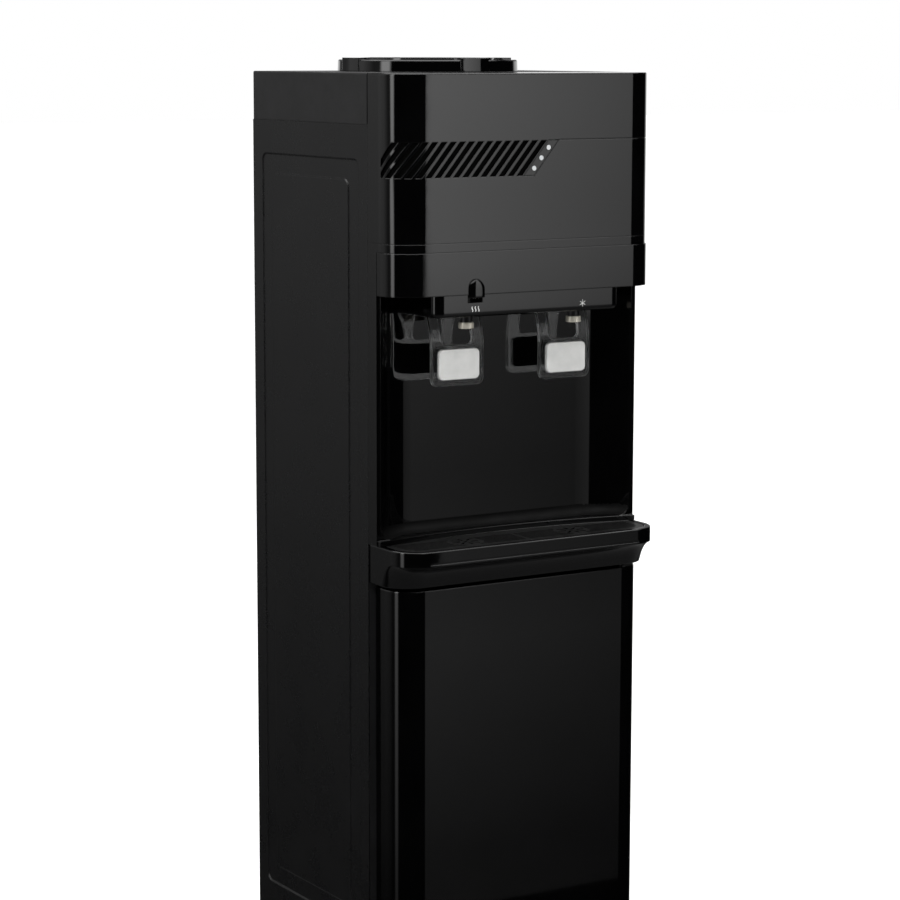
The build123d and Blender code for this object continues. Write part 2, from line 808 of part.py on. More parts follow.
def spout(x):
    """Bright nozzle ring pushed over the neck."""
    ring = rod_z(nozzle_bottom, nozzle_bottom + nozzle_length, x, nozzle_y, nozzle_radius)
    ring = chamfer(ring.edges().filter_by(GeomType.CIRCLE), 0.5)
    ring -= rod_z(nozzle_bottom + 3, nozzle_bottom + 10, x, nozzle_y, neck_radius + pin_fit)
    return ring - rod_z(nozzle_bottom - 1, nozzle_bottom + 10, x, nozzle_y, water_bore + 0.5)


def valve_plunger(x):
    """Sliding valve stem, notched below for the lever tongue."""
    stem = rod_y(pivot_y - 20, pivot_y + 9, x, valve_z, plunger_radius)
    reach = tongue / 2 + 0.8
    notch = span((x - 9, x + 9), (pivot_y - reach, pivot_y + reach), (0, valve_z + 0.6))
    return stem - notch


def lever(x):
    """Clear yoke: two arms round the nozzle lean back to the pivot over a framed pad seat."""
    front = fascia_front + lever_setback
    bottom = housing_bottom - lever_below_housing
    bend = housing_bottom - lever_straight
    top = housing_bottom + 1
    front_arc = TangentArc((front, bend), (front + lever_lean, top), tangent=(0, 1))
    t = lever_thickness
    back_arc = TangentArc((front + t, bend), (front + lever_lean + t, top), tangent=(0, 1))
    lines = [
        Line((front, bottom), (front, bend)),
        Line((front + t, bottom), (front + t, bend)),
        Line((front, bottom), (front + t, bottom)),
        Line((front + lever_lean, top), (front + lever_lean + t, top)),
    ]
    side = make_face([front_arc.edge(), back_arc.edge()] + [line.edge() for line in lines])
    place = Plane((x - lever_width / 2, 0, 0), x_dir=(0, 1, 0), z_dir=(1, 0, 0))
    body = extrude(place * side, amount=lever_width)
    upright = [edge for edge in body.edges().filter_by(Axis.Y) if edge.center().Z < bottom + 1]
    body = fillet(upright, lever_corner)
    notch_low = bottom + lever_below_housing - lever_opening_bottom
    cutter = Pos(x, 0, 0) * elevation(
        [(-lever_opening / 2, notch_low), (lever_opening / 2, notch_low),
         (lever_opening / 2, top + 20), (-lever_opening / 2, top + 20)], front - 5, front + 40)
    cutter = fillet([edge for edge in cutter.edges().filter_by(Axis.Y) if edge.center().Z < notch_low + 1], 6)
    body -= cutter
    for side_sign in (-1, 1):
        near = x + side_sign * lever_opening / 2
        far = x + side_sign * lever_width / 2
        low, high = min(near, far), max(near, far)
        hub = rod_x(low, high, pivot_y, pivot_z, hub_radius)
        grip = hub_radius * 0.7
        outline = [(front + lever_lean, top - 3), (front + lever_lean + t, top - 3),
                   (pivot_y + grip, pivot_z), (pivot_y - grip, pivot_z)]
        neck = elevation_side(outline, low, high)
        body += hub + neck
    body += rod_x(x - lever_opening / 2 - 1, x + lever_opening / 2 + 1, pivot_y, pivot_z, crossbar_radius)
    body += span((x - tongue / 2, x + tongue / 2), (pivot_y - tongue / 2, pivot_y + tongue / 2),
                 (pivot_z, valve_z))
    body -= rod_x(x - 50, x + 50, pivot_y, pivot_z, pin_radius + pin_fit)
    return body - pad_block(x, 0.05, front + pad_seat)


def elevation_side(points, x0, x1):
    """A polygon of (y, z) points pushed along X."""
    place = Plane((x0, 0, 0), x_dir=(0, 1, 0), z_dir=(1, 0, 0))
    return extrude(place * Polygon(*points, align=None), amount=x1 - x0, dir=(1, 0, 0))


def pad_block(x, grow, back):
    """Outline block of the finger pad, from its front to the given back plane."""
    front = fascia_front + lever_setback
    low = housing_bottom - lever_below_housing + pad_bottom_margin
    place = Plane((x, back, low + pad_height / 2), x_dir=(1, 0, 0), z_dir=(0, -1, 0))
    face = place * RectangleRounded(pad_width + 2 * grow, pad_height + 2 * grow, pad_radius)
    return extrude(face, amount=back - (front - pad_proud))


def lever_pad(x):
    """Silver finger pad with a softened front edge, seated in the yoke."""
    pad = pad_block(x, 0, fascia_front + lever_setback + pad_seat)
    return fillet(pad.faces().sort_by(Axis.Y)[0].edges(), 1.2)


def pivot_pins():
    """Steel pins: one through each lever, and the lower and upper door pins."""
    reach = lever_width / 2 + 1.5 + wall
    taps = (-tap_spacing / 2, tap_spacing / 2)
    pins = [rod_x(x - reach, x + reach, pivot_y, pivot_z, pin_radius) for x in taps]
    lower = rod_z(base_top - hinge_pin_depth, door_bottom + 10, hinge_x, hinge_y, hinge_pin_radius)
    lower += rod_z(base_top, base_top + 1.4, hinge_x, hinge_y, hinge_pin_radius + 2)
    upper = rod_z(door_top - 10, shelf_bottom + hinge_pin_depth, hinge_x, hinge_y, hinge_pin_radius)
    upper += rod_z(shelf_bottom - 1.4, shelf_bottom, hinge_x, hinge_y, hinge_pin_radius + 2)
    return pins + [lower, upper]


def tap_nuts():
    """Lock nuts that hold the tap inlets to the bay wall from behind."""
    nuts = []
    for x in (-tap_spacing / 2, tap_spacing / 2):
        place = Plane((x, bay_back + wall, valve_z), x_dir=(1, 0, 0), z_dir=(0, 1, 0))
        outline = place * RegularPolygon(nut_across_flats / 2, 6, major_radius=False)
        nut = extrude(outline, amount=nut_thickness)
        nuts.append(nut - rod_y(bay_back, bay_back + 20, x, valve_z, valve_inlet_radius + pin_fit))
    return nuts


def shelf_outline(inset=0.0, front_inset=0.0):
    """Plan outline of the drip shelf."""
    return plan(half_width - shelf_side_inset - inset, front_end + front_inset, shell_front, shelf_radius)


def recess_outline(inset):
    """Plan outline of the well in the shelf: bowed behind to follow the ledge."""
    half = half_width - shelf_side_inset - shelf_rim - inset
    outline = plan(half, front_end + shelf_rim + inset, shell_front + 20, shelf_radius - shelf_rim)
    return outline


def tray_housing():
    """Drip shelf: upright band, front groove, and a hollow sweep back to the door plane."""
    band_bottom = shelf_top - shelf_band
    body = slab(shelf_outline(), band_bottom, shelf_top)
    depths = [0.0, 0.42, 0.72, 0.9, 1.0]
    heights = [1.0, 0.8, 0.5, 0.2, 0.0]
    drop = band_bottom - shelf_bottom
    sections = []
    for depth, level in zip(depths, heights):
        sections.append(Pos(0, 0, shelf_bottom + drop * level) * shelf_outline(0, shelf_sweep * depth).face())
    body += loft(sections)
    rim = body.faces().sort_by(Axis.Z)[-1].edges().filter_by(lambda e: e.center().Y < shell_front - 1)
    body = fillet(rim, 1.2)
    groove_z = shelf_top - shelf_groove_drop
    groove = slab(shelf_outline(), groove_z - shelf_groove, groove_z)
    groove -= slab(plan(half_width - shelf_side_inset - 1, front_end + 1, shell_front, shelf_radius - 1),
                   groove_z - shelf_groove, groove_z)
    straight = half_width - shelf_radius
    body -= groove & span((-straight, straight), (front_end - 1, 0), (groove_z - 5, groove_z + 5))
    well = slab(recess_outline(0), shelf_top - grille_recess - tray_wall - rest_gap, shelf_top)
    well &= ledge_cut(shelf_top, shelf_bottom, 0.4)
    body -= well
    body -= bowl(slide_gap + 0.4, shelf_top - grille_recess - tray_wall)
    pin_top = shelf_bottom + hinge_pin_depth
    return body - rod_z(shelf_bottom - 1, pin_top, hinge_x, hinge_y, hinge_pin_radius + pin_fit / 5)


def bowl(grow, top):
    """Tapered bowl of the drip tray, or the pocket that it drops into."""
    half = half_width - shelf_side_inset - shelf_rim - tray_rim
    front = front_end + shelf_rim + tray_rim
    back = shell_front - ledge_front_middle - tray_back_margin
    low = top - tray_depth + tray_wall
    upper = Pos(0, (front + back) / 2, top) * RectangleRounded(
        2 * half + 2 * grow, back - front + 2 * grow, tray_corner + grow)
    lower = Pos(0, (front + tray_draft + back) / 2, low - grow) * RectangleRounded(
        2 * (half - tray_draft) + 2 * grow, back - front - tray_draft + 2 * grow, tray_corner + grow)
    return loft([upper.face(), lower.face()])


def drip_tray():
    """Lift-out drip tray: a flat rim on the shelf well and a tapered bowl."""
    top = shelf_top - grille_recess
    bottom = top - tray_wall
    rim = slab(recess_outline(slide_gap + 0.2), bottom, top) & ledge_cut(top, bottom, 0.9)
    inner = bowl(-tray_wall, top + 0.01)
    inner = inner + Pos(0, 0, 0.5) * inner
    return rim + bowl(0, bottom + 0.01) - Pos(0, 0, tray_wall / 2) * inner


def drip_grille():
    """Perforated grille plate: rows of slots and a rosette under each tap."""
    top = shelf_top - grille_recess + rest_gap + grille_thickness
    bottom = top - grille_thickness
    plate = slab(recess_outline(slide_gap + 0.4), bottom, top) & ledge_cut(top, bottom, 1.0)
    back = shell_front - ledge_front_middle - ledge_front_sweep
    front = front_end + shelf_rim + grille_bar
    rows = int((back - front) / grille_pitch) + 1
    reach = half_width - shelf_side_inset - shelf_rim - grille_bar
    cuts = []
    for row in range(rows):
        y = back - row * grille_pitch
        spare = 0
        if y < front + grille_corner:
            rise = front + grille_corner - y
            spare = grille_corner - sqrt(max(0.0, grille_corner ** 2 - rise ** 2))
        edges = [-reach + spare]
        for x in (-tap_spacing / 2, tap_spacing / 2):
            away = abs(y - nozzle_y)
            half = sqrt(rosette_radius ** 2 - away ** 2) if away < rosette_radius else 0
            if half > 1:
                edges += [x - half - 2, x + half + 2]
            else:
                edges += [x - 2, x + 2]
        edges.append(reach - spare)
        for left, right in zip(edges[::2], edges[1::2]):
            middle = (left + right) / 2
            pieces = [(left, right)] if right - left < 70 else [(left, middle - 2), (middle + 2, right)]
            for low, high in pieces:
                cuts.append(Pos((low + high) / 2, y) * Rectangle(high - low, grille_slot))
    for x in (-tap_spacing / 2, tap_spacing / 2):
        for turn in range(8):
            petal = Pos(x, nozzle_y) * Rot(0, 0, 45 * turn) * Pos(rosette_radius * 0.62, 0)
            cuts.append(petal * Rectangle(rosette_radius * 0.55, grille_slot * 1.2))
        cuts.append(Pos(x, nozzle_y) * Circle(grille_slot))
    holes = extrude(Sketch(children=[]) + cuts, amount=grille_thickness + 2)
    return plate - Pos(0, 0, bottom - 1) * holes


def door_outline(inset=0.0):
    """Plan outline of the cabinet door or of a surface inside it."""
    return plan(door_half - inset, door_front + inset, door_back, door_radius - inset)


def door():
    """Cabinet door: a deep shell with round front corners, closed ends and hinge bosses."""
    body = slab(door_outline(), door_bottom, door_top)
    for end in (0, -1):
        rim = body.faces().sort_by(Axis.Z)[end].edges().filter_by(lambda e: e.center().Y < door_back - 1)
        body = fillet(rim, 1.5)
    inner = plan(door_half - wall, door_front + wall, door_back + 1, door_radius - wall)
    body -= slab(inner, door_bottom + wall, door_top - wall)
    for low, high in ((door_bottom, door_bottom + 12), (door_top - 12, door_top)):
        boss = rod_z(low + 1, high - 1, hinge_x, hinge_y, hinge_boss_radius)
        body += boss & slab(door_outline(1), low, high)
        body -= rod_z(low - 1, high + 1, hinge_x, hinge_y, hinge_pin_radius + pin_fit)
    return body


def door_liner():
    """Flat inner panel that closes the back of the door, with a shallow raised field."""
    half = door_half - wall - 0.1
    thickness = wall
    low = door_bottom + wall + 0.1
    high = door_top - wall - 0.1
    plate = span((-half, half), (door_back - thickness, door_back), (low, high))
    place = Plane((0, door_back - thickness, (low + high) / 2), x_dir=(1, 0, 0), z_dir=(0, -1, 0))
    width = 2 * (half - door_field_margin)
    height = high - low - 2 * door_field_margin
    field = extrude(place * RectangleRounded(width, height, 12), amount=door_field_depth, taper=20)
    dish = Plane((0, door_back, (low + high) / 2), x_dir=(1, 0, 0), z_dir=(0, -1, 0))
    inner = RectangleRounded(width - 2 * door_field_wall, height - 2 * door_field_wall, 12)
    hollow = extrude(dish * inner, amount=door_field_depth, taper=20)
    plate = plate + field - hollow
    clear = hinge_boss_radius + 0.3
    for low_z, high_z in ((door_bottom, door_bottom + 12.5), (door_top - 12.5, door_top)):
        plate -= rod_z(low_z, high_z, hinge_x, hinge_y, clear)
    return plate - span(magnet_reach(), (door_back - 2, door_back + 1), magnet_span())


def magnet_span():
    """Heights of the ends of the catch magnet."""
    middle = (door_bottom + door_top) / 2
    return (middle - magnet_length / 2, middle + magnet_length / 2)


def magnet_reach(margin=0.0):
    """Sides of the catch magnet along X."""
    x = -door_half + magnet_inset
    return (x - magnet_breadth / 2 - margin, x + magnet_breadth / 2 + margin)


def door_magnet():
    """Magnet strip set in the free edge of the inner panel."""
    return span(magnet_reach(), (door_back - 2, shell_front - 1.5), magnet_span())


def strike_plate():
    """Steel plate on the surround that the door magnet holds to."""
    low, high = magnet_span()
    return span(magnet_reach(strike_margin), (shell_front - 1.2, shell_front), (low - 4, high + 4))


def surround():
    """Flat frame between the side panels, round the cabinet opening."""
    frame = span((-inner_half, inner_half), (shell_front, shell_front + surround_thickness),
                 (base_top, shelf_top))
    opening = inner_half - surround_margin
    low = base_top + surround_margin
    high = deck_top - deck_thickness - surround_margin / 2
    hole = Pos(0, shell_front - 1, (low + high) / 2) * Rot(-90, 0, 0) * extrude(
        RectangleRounded(2 * opening, high - low, 10), amount=surround_thickness + 2)
    return frame - hole


def liner_profile(grow):
    """Side profile of the cabinet space, stepped forward over the compressor."""
    low = base_top + surround_margin - grow
    high = deck_top - deck_thickness - surround_margin / 2 + grow
    front = shell_front + surround_thickness
    lower = front + liner_lower_depth + grow
    upper = front + liner_upper_depth + grow
    step = liner_step_height
    if grow > 0:
        step = liner_step_height - grow
    return [(front, low), (lower, low), (lower, step), (upper, step), (upper, high), (front, high)]


def cabinet_liner():
    """Stepped inner box of the cabinet with a flange against the surround."""
    half = inner_half - surround_margin
    outer = elevation_side(liner_profile(liner_wall), -half - liner_wall, half + liner_wall)
    inner = elevation_side(liner_profile(0), -half, half)
    front = shell_front + surround_thickness
    low = base_top + surround_margin
    high = deck_top - deck_thickness - surround_margin / 2
    flange = span((-half - 8, half + 8), (front, front + liner_wall), (low - 8, high + 8))
    return outer + flange - Pos(0, -1, 0) * inner - inner


def deck():
    """Shelf across the cabinet under the hot tank, with a hole for the suction pipe."""
    front = shell_front + surround_thickness
    plate = span((-deck_half, deck_half), (front, panel_back_face - sheet),
                 (deck_top - deck_thickness, deck_top))
    plate -= rod_z(0, 1000, hot_tank_x, suction_y(), drain_tube_radius + tube_fit)
    return plate - rod_z(0, 1000, suction_x, suction_y(), pipe_radius + tube_fit)


def suction_y():
    """Depth at which the suction pipe climbs between the liner and the back panel."""
    return (shell_front + surround_thickness + liner_upper_depth + liner_wall + panel_back_face - sheet) / 2


def tank_bridge():
    """Steel channel between the side panels that carries the cold tank."""
    front = tank_y - foam_radius + 8
    back = panel_back_face - sheet
    plate = span((-deck_half, deck_half), (front, back), (bridge_top - bridge_thickness, bridge_top))
    for edge in (front, back - bridge_thickness):
        plate += span((-deck_half, deck_half), (edge, edge + bridge_thickness),
                      (bridge_top - bridge_flange, bridge_top))
    plate -= rod_z(0, 1000, suction_x, suction_y(), pipe_radius + tube_fit)
    return plate - rod_z(0, 1000, feed_x, hot_tank_y, water_tube_radius + tube_fit)


def cold_tank():
    """Round stainless cold tank, open at the top."""
    tank = rod_z(cold_tank_bottom, cold_tank_top, 0, tank_y, cold_tank_radius)
    tank = chamfer(tank.edges().group_by(Axis.Z)[0], tank_corner)
    inside = rod_z(cold_tank_bottom + tank_sheet, cold_tank_top + 1, 0, tank_y, cold_tank_radius - tank_sheet)
    tank -= chamfer(inside.edges().group_by(Axis.Z)[0], tank_corner - tank_sheet * 0.4)
    return tank - cold_outlet_hole() - feed_hole()


def cold_outlet_hole():
    """Hole for the tube from the cold tank forward to its tap."""
    z = cold_tank_bottom + cold_outlet_rise
    start = tank_y - foam_radius
    end = tank_y - cold_tank_radius / 2
    return rod_y(start, end, cold_outlet_x, z, water_tube_radius + tube_fit)


def feed_hole():
    """Hole for the tube from the cold tank down to the hot tank."""
    low = bridge_top - bridge_flange
    return rod_z(low, cold_tank_bottom + tank_corner, feed_x, hot_tank_y, water_tube_radius + tube_fit)


def cold_foam():
    """Foam jacket round the cold tank."""
    foam = rod_z(bridge_top, cold_tank_top, 0, tank_y, foam_radius)
    core = rod_z(cold_tank_bottom, cold_tank_top + 1, 0, tank_y, cold_tank_radius)
    foam -= chamfer(core.edges().group_by(Axis.Z)[0], tank_corner)
    z = cold_tank_bottom + suction_rise
    suction = rod_y(tank_y + cold_tank_radius / 2, tank_y + foam_radius, suction_x, z, pipe_radius + tube_fit)
    return foam - cold_outlet_hole() - feed_hole() - suction


def tank_lid():
    """Ring lid over the cold tank with the spout opening."""
    lid = rod_z(cold_tank_top, cold_tank_top + lid_thickness, 0, tank_y, foam_radius - 4)
    lid = chamfer(lid.edges().group_by(Axis.Z)[-1], 1.5)
    return lid - rod_z(0, 2000, 0, tank_y, spout_radius + 0.6)


def hot_tank():
    """Closed stainless hot tank with its stand ring."""
    tank = rod_z(hot_tank_bottom, hot_tank_top, hot_tank_x, hot_tank_y, hot_tank_radius)
    tank = chamfer(tank.edges().filter_by(GeomType.CIRCLE), tank_corner)
    stand = rod_z(deck_top, hot_tank_bottom + 1, hot_tank_x, hot_tank_y, hot_tank_radius * 0.5)
    return tank + stand


def hot_foam_jacket():
    """Insulating jacket round the hot tank, with holes for its pipes."""
    low = deck_top + hot_stand
    reach = hot_tank_radius + hot_foam
    hole = water_tube_radius + tube_fit
    inlet_z = hot_tank_bottom + hot_inlet_rise
    jacket = rod_z(low, hot_tank_top + hot_foam, hot_tank_x, hot_tank_y, reach)
    core = rod_z(hot_tank_bottom, hot_tank_top, hot_tank_x, hot_tank_y, hot_tank_radius)
    jacket -= chamfer(core.edges().filter_by(GeomType.CIRCLE), tank_corner)
    jacket -= rod_z(deck_top, hot_tank_bottom + 1, hot_tank_x, hot_tank_y, hot_tank_radius * 0.5)
    top = hot_tank_top + hot_foam + 1
    jacket -= rod_z(hot_tank_top - 1, top, hot_tank_x, hot_tank_y - hot_outlet_setback, hole)
    jacket -= rod_x(hot_tank_x + hot_tank_radius / 2, hot_tank_x + reach + 1, hot_tank_y, inlet_z, hole)
    drain_hole = drain_tube_radius + tube_fit
    start = hot_tank_y + hot_tank_radius / 2
    return jacket - rod_y(start, hot_tank_y + reach + 1, hot_tank_x, inlet_z, drain_hole)


def water_tubes():
    """Soft tubes: tank to tap on each side, cold tank down to hot tank, hot tank to the drain."""
    run_y = bay_back + valve_inlet_reach
    turn_y = run_y + 2 * tube_bend
    cold_x = tap_spacing / 2
    z = cold_tank_bottom + cold_outlet_rise
    start = tank_y - sqrt((cold_tank_radius - tank_sheet) ** 2 - cold_outlet_x ** 2)
    cold_route = [
        (cold_outlet_x, start, z), (cold_outlet_x, turn_y, z),
        (cold_x, turn_y, valve_z), (cold_x, run_y, valve_z),
    ]
    hot_y = hot_tank_y - hot_outlet_setback
    hot_route = [
        (hot_tank_x, hot_y, hot_tank_top), (hot_tank_x, hot_y, hot_tank_top + 2 * hot_foam),
        (-cold_x, turn_y, hot_tank_top + 2 * hot_foam + 2 * tube_bend),
        (-cold_x, turn_y, valve_z), (-cold_x, run_y, valve_z),
    ]
    side = hot_tank_x + hot_tank_radius
    feed_z = hot_tank_bottom + hot_inlet_rise
    feed_route = [
        (feed_x, hot_tank_y, cold_tank_bottom), (feed_x, hot_tank_y, feed_z), (side, hot_tank_y, feed_z),
    ]
    rear = suction_y()
    slope_top = deck_top - deck_thickness - 3 * tube_bend
    drain_route = [
        (hot_tank_x, hot_tank_y + hot_tank_radius, feed_z), (hot_tank_x, rear, feed_z),
        (hot_tank_x, rear, slope_top), (drain_x, rear, slope_top - 6 * tube_bend),
        (drain_x, rear, drain_z + drain_socket),
    ]
    return [
        tube(cold_route, tube_bend, water_tube_radius),
        tube(hot_route, tube_bend, water_tube_radius),
        tube(feed_route, feed_bend, water_tube_radius),
        tube(drain_route, drain_bend, drain_tube_radius),
    ]


def back_panel():
    """Steel back with openings for the switches, the drain and the cord gland."""
    panel = span((-inner_half, inner_half), (panel_back_face - sheet, panel_back_face),
                 (back_panel_bottom, cover_bottom))
    half = switch_spacing / 2 + switch_width / 2 + 4
    panel -= span((switch_x - half, switch_x + half), (0, 500), (switch_z - 14, switch_z + 14))
    panel -= rod_y(0, 500, drain_x, drain_z, drain_radius + pin_fit)
    gland = gland_place()
    return panel - rod_y(0, 500, gland[0], gland[1], gland_radius * 0.7 + pin_fit)


def drain_outlet():
    """Drain fitting through the back panel, fed from above by the drain tube."""
    centre = suction_y()
    fitting = rod_y(centre + 1, panel_back_face + drain_reach, drain_x, drain_z, drain_radius)
    fitting += rod_y(panel_back_face, panel_back_face + 1.5, drain_x, drain_z, drain_radius + 4)
    fitting += rod_z(drain_z - 3, drain_z + drain_socket, drain_x, centre, drain_tube_radius + 0.5)
    fitting -= rod_z(drain_z, drain_z + 20, drain_x, centre, drain_tube_radius - 1.5)
    return fitting - rod_y(centre + 0.5, 500, drain_x, drain_z, drain_tube_radius - 1)


def drain_cap():
    """Fluted cap screwed over the drain outlet."""
    start = panel_back_face + 1.5 + rest_gap
    place = Plane((drain_x, start, drain_z), x_dir=(1, 0, 0), z_dir=(0, 1, 0))
    cap = extrude(place * RegularPolygon(drain_cap_radius, 10), amount=drain_cap_length + 2)
    limit = rod_y(start, start + drain_cap_length + 2, drain_x, drain_z, drain_cap_radius - 0.2)
    cap &= chamfer(limit.edges().group_by(Axis.Y)[-1], 1.2)
    bore_end = panel_back_face + drain_reach + rest_gap
    return cap - rod_y(start - 1, bore_end, drain_x, drain_z, drain_radius + slide_gap)


def gland_place():
    """Place of the cord gland in the back panel, as (x, z)."""
    return (-half_width + 23, back_panel_bottom + 22)


def cord_gland():
    """Rubber bushing where the mains cord comes out."""
    x, z = gland_place()
    bush = rod_y(panel_back_face - sheet - 3, panel_back_face - sheet, x, z, gland_radius)
    bush += rod_y(panel_back_face - sheet - 1, panel_back_face + 1, x, z, gland_radius * 0.7)
    bush += rod_y(panel_back_face, panel_back_face + 4, x, z, gland_radius)
    return bush - rod_y(0, 500, x, z, gland_bore)


def switch_bezel():
    """Bezel of the two rear switches with its closed housing behind the panel."""
    half = switch_spacing / 2 + switch_width / 2 + 3.7
    face = span((switch_x - half - 3, switch_x + half + 3), (panel_back_face, panel_back_face + 2.5),
                (switch_z - 17, switch_z + 17))
    body = span((switch_x - half, switch_x + half),
                (panel_back_face - switch_body_depth, panel_back_face + 1),
                (switch_z - 13.7, switch_z + 13.7))
    body += chamfer(face.faces().sort_by(Axis.Y)[-1].edges(), 0.8)
    for x in switch_places():
        reach = switch_width / 2 + slide_gap
        high = switch_radius + slide_gap
        body -= span((x - reach, x + reach), (panel_back_face - 8, panel_back_face + 5),
                     (switch_z - high, switch_z + high))
    return body


def switch_places():
    """Middle of each rear switch along X."""
    return [switch_x - switch_spacing / 2, switch_x + switch_spacing / 2]


def rocker(x):
    """Rocker key: a round-edged block with a shallow dished face, tilted to its off position."""
    axis_y = panel_back_face + 1
    key = rod_x(x - switch_width / 2, x + switch_width / 2, 0, 0, switch_radius)
    key &= span((x - 20, x + 20), (-3.5, 20), (-20, 20))
    half_throw = radians(switch_throw / 2)
    reach = 20
    rise = reach * tan(half_throw)
    outline = [(3, 0), (3 + rise, reach), (30, reach), (30, -reach), (3 + rise, -reach)]
    face = elevation_side(outline, x - 20, x + 20)
    key -= face
    return Pos(0, axis_y, switch_z) * Rot(switch_throw / 2, 0, 0) * key


def condenser():
    """Wire-and-tube condenser: a serpentine tube with upright wires that lie against its back."""
    points = []
    for run in range(coil_runs):
        z = coil_top - run * coil_pitch
        side = -1 if run % 2 == 0 else 1
        points += [(side * coil_half_width, coil_y, z), (-side * coil_half_width, coil_y, z)]
    points.append((points[-1][0], coil_y, points[-1][2] - coil_tail))
    bends = [coil_pitch * 0.45] * (len(points) - 3) + [coil_tail * 0.3]
    coil = tube(points, bends, coil_tube_radius)
    count = int(2 * (coil_half_width - wire_margin) / wire_pitch) + 1
    back = coil_y + coil_tube_radius
    heights = (coil_last - wire_overhang, coil_top + wire_overhang)
    wires = []
    for index in range(count):
        x = (index - (count - 1) / 2) * wire_pitch
        wires.append(span((x - wire_size / 2, x + wire_size / 2), (back, back + wire_size), heights))
    return [coil] + wires


def condenser_clips():
    """Four clips that hold the condenser off the back panel and meet the wall."""
    clips = []
    for x in (-coil_half_width + 34, coil_half_width - 34):
        for run in (1, coil_runs - 2):
            z = coil_top - run * coil_pitch
            clip = span((x - 6, x + 6), (panel_back_face, rear_end), (z - 7, z + 7))
            clip = fillet(clip.edges().filter_by(Axis.X), 2)
            clips.append(clip - rod_x(x - 10, x + 10, coil_y, z, coil_tube_radius + pin_fit))
    return clips


def compressor_y():
    """Depth of the compressor axis."""
    return panel_back_face - compressor_setback


def compressor():
    """Hermetic compressor: a domed steel shell on a footed plate."""
    low = base_top + mount_height
    y = compressor_y()
    shell = rod_z(low, low + compressor_height, 0, y, compressor_radius)
    shell = fillet(shell.edges().group_by(Axis.Z)[-1], 24)
    seam = low + compressor_height * 0.45
    shell += rod_z(seam, seam + 4, 0, y, compressor_radius + 2)
    plate = Pos(0, y, low - 1) * extrude(
        RectangleRounded(2 * mount_spread_x + 26, 2 * mount_spread_y + 26, 12), amount=3)
    for x, py in mount_places():
        plate -= rod_z(0, 500, x, py, 4.2)
    return shell + plate


def mount_places():
    """Places of the four compressor mounts."""
    y = compressor_y()
    return [(sx * mount_spread_x, y + sy * mount_spread_y) for sx in (-1, 1) for sy in (-1, 1)]


def compressor_mounts():
    """Rubber mounts under the compressor plate."""
    mounts = []
    for x, y in mount_places():
        mount = rod_z(base_top, base_top + mount_height - 1, x, y, mount_radius)
        mount -= rod_z(base_top, base_top + 20, x, y, 3 + pin_fit)
        mounts.append(mount)
    return mounts


def mount_bolts():
    """Bolts through the compressor mounts."""
    bolts = []
    for x, y in mount_places():
        top = base_top + mount_height + 2
        bolt = rod_z(base_top, top + 1, x, y, 3)
        bolts.append(bolt + rod_z(top, top + 4, x, y, 6))
    return bolts


def relay_cover():
    """Terminal cover on the side of the compressor."""
    low = base_top + mount_height + 20
    y = compressor_y()
    cover = Pos(compressor_radius + 8, y, low + 28) * Box(34, 46, 46)
    cover = fillet(cover.edges().filter_by(Axis.X), 5)
    seam = base_top + mount_height + compressor_height * 0.45
    cover -= rod_z(0, 400, 0, y, compressor_radius)
    return cover - rod_z(seam - 0.5, seam + 4.5, 0, y, compressor_radius + 2.1)


def refrigerant_pipes():
    """Copper pipes: suction from the cold jacket down to the compressor, discharge up to the condenser."""
    y = compressor_y()
    dome = base_top + mount_height + compressor_height
    rear = suction_y()
    level = dome + 13
    tank_end = tank_y + sqrt(cold_tank_radius ** 2 - (suction_x - pipe_radius) ** 2) + 0.2
    z = cold_tank_bottom + suction_rise
    suction = tube(
        [(22, y, dome), (22, y, level), (suction_x, rear, level), (suction_x, rear, z),
         (suction_x, tank_end, z)],
        6, pipe_radius)
    discharge = tube(
        [(-22, y, dome), (-22, y, level), (discharge_x, coil_y, level), (discharge_x, coil_y, coil_top),
         (-coil_half_width, coil_y, coil_top)],
        6, coil_tube_radius)
    return [suction, discharge]


def filter_drier():
    """Copper filter drier soldered to the lower end of the condenser tube."""
    end_x = -coil_half_width if coil_runs % 2 == 0 else coil_half_width
    top = coil_last - coil_tail
    drier = rod_z(top - drier_length, top, end_x, coil_y, drier_radius)
    return chamfer(drier.edges().filter_by(GeomType.CIRCLE), drier_radius * 0.6)


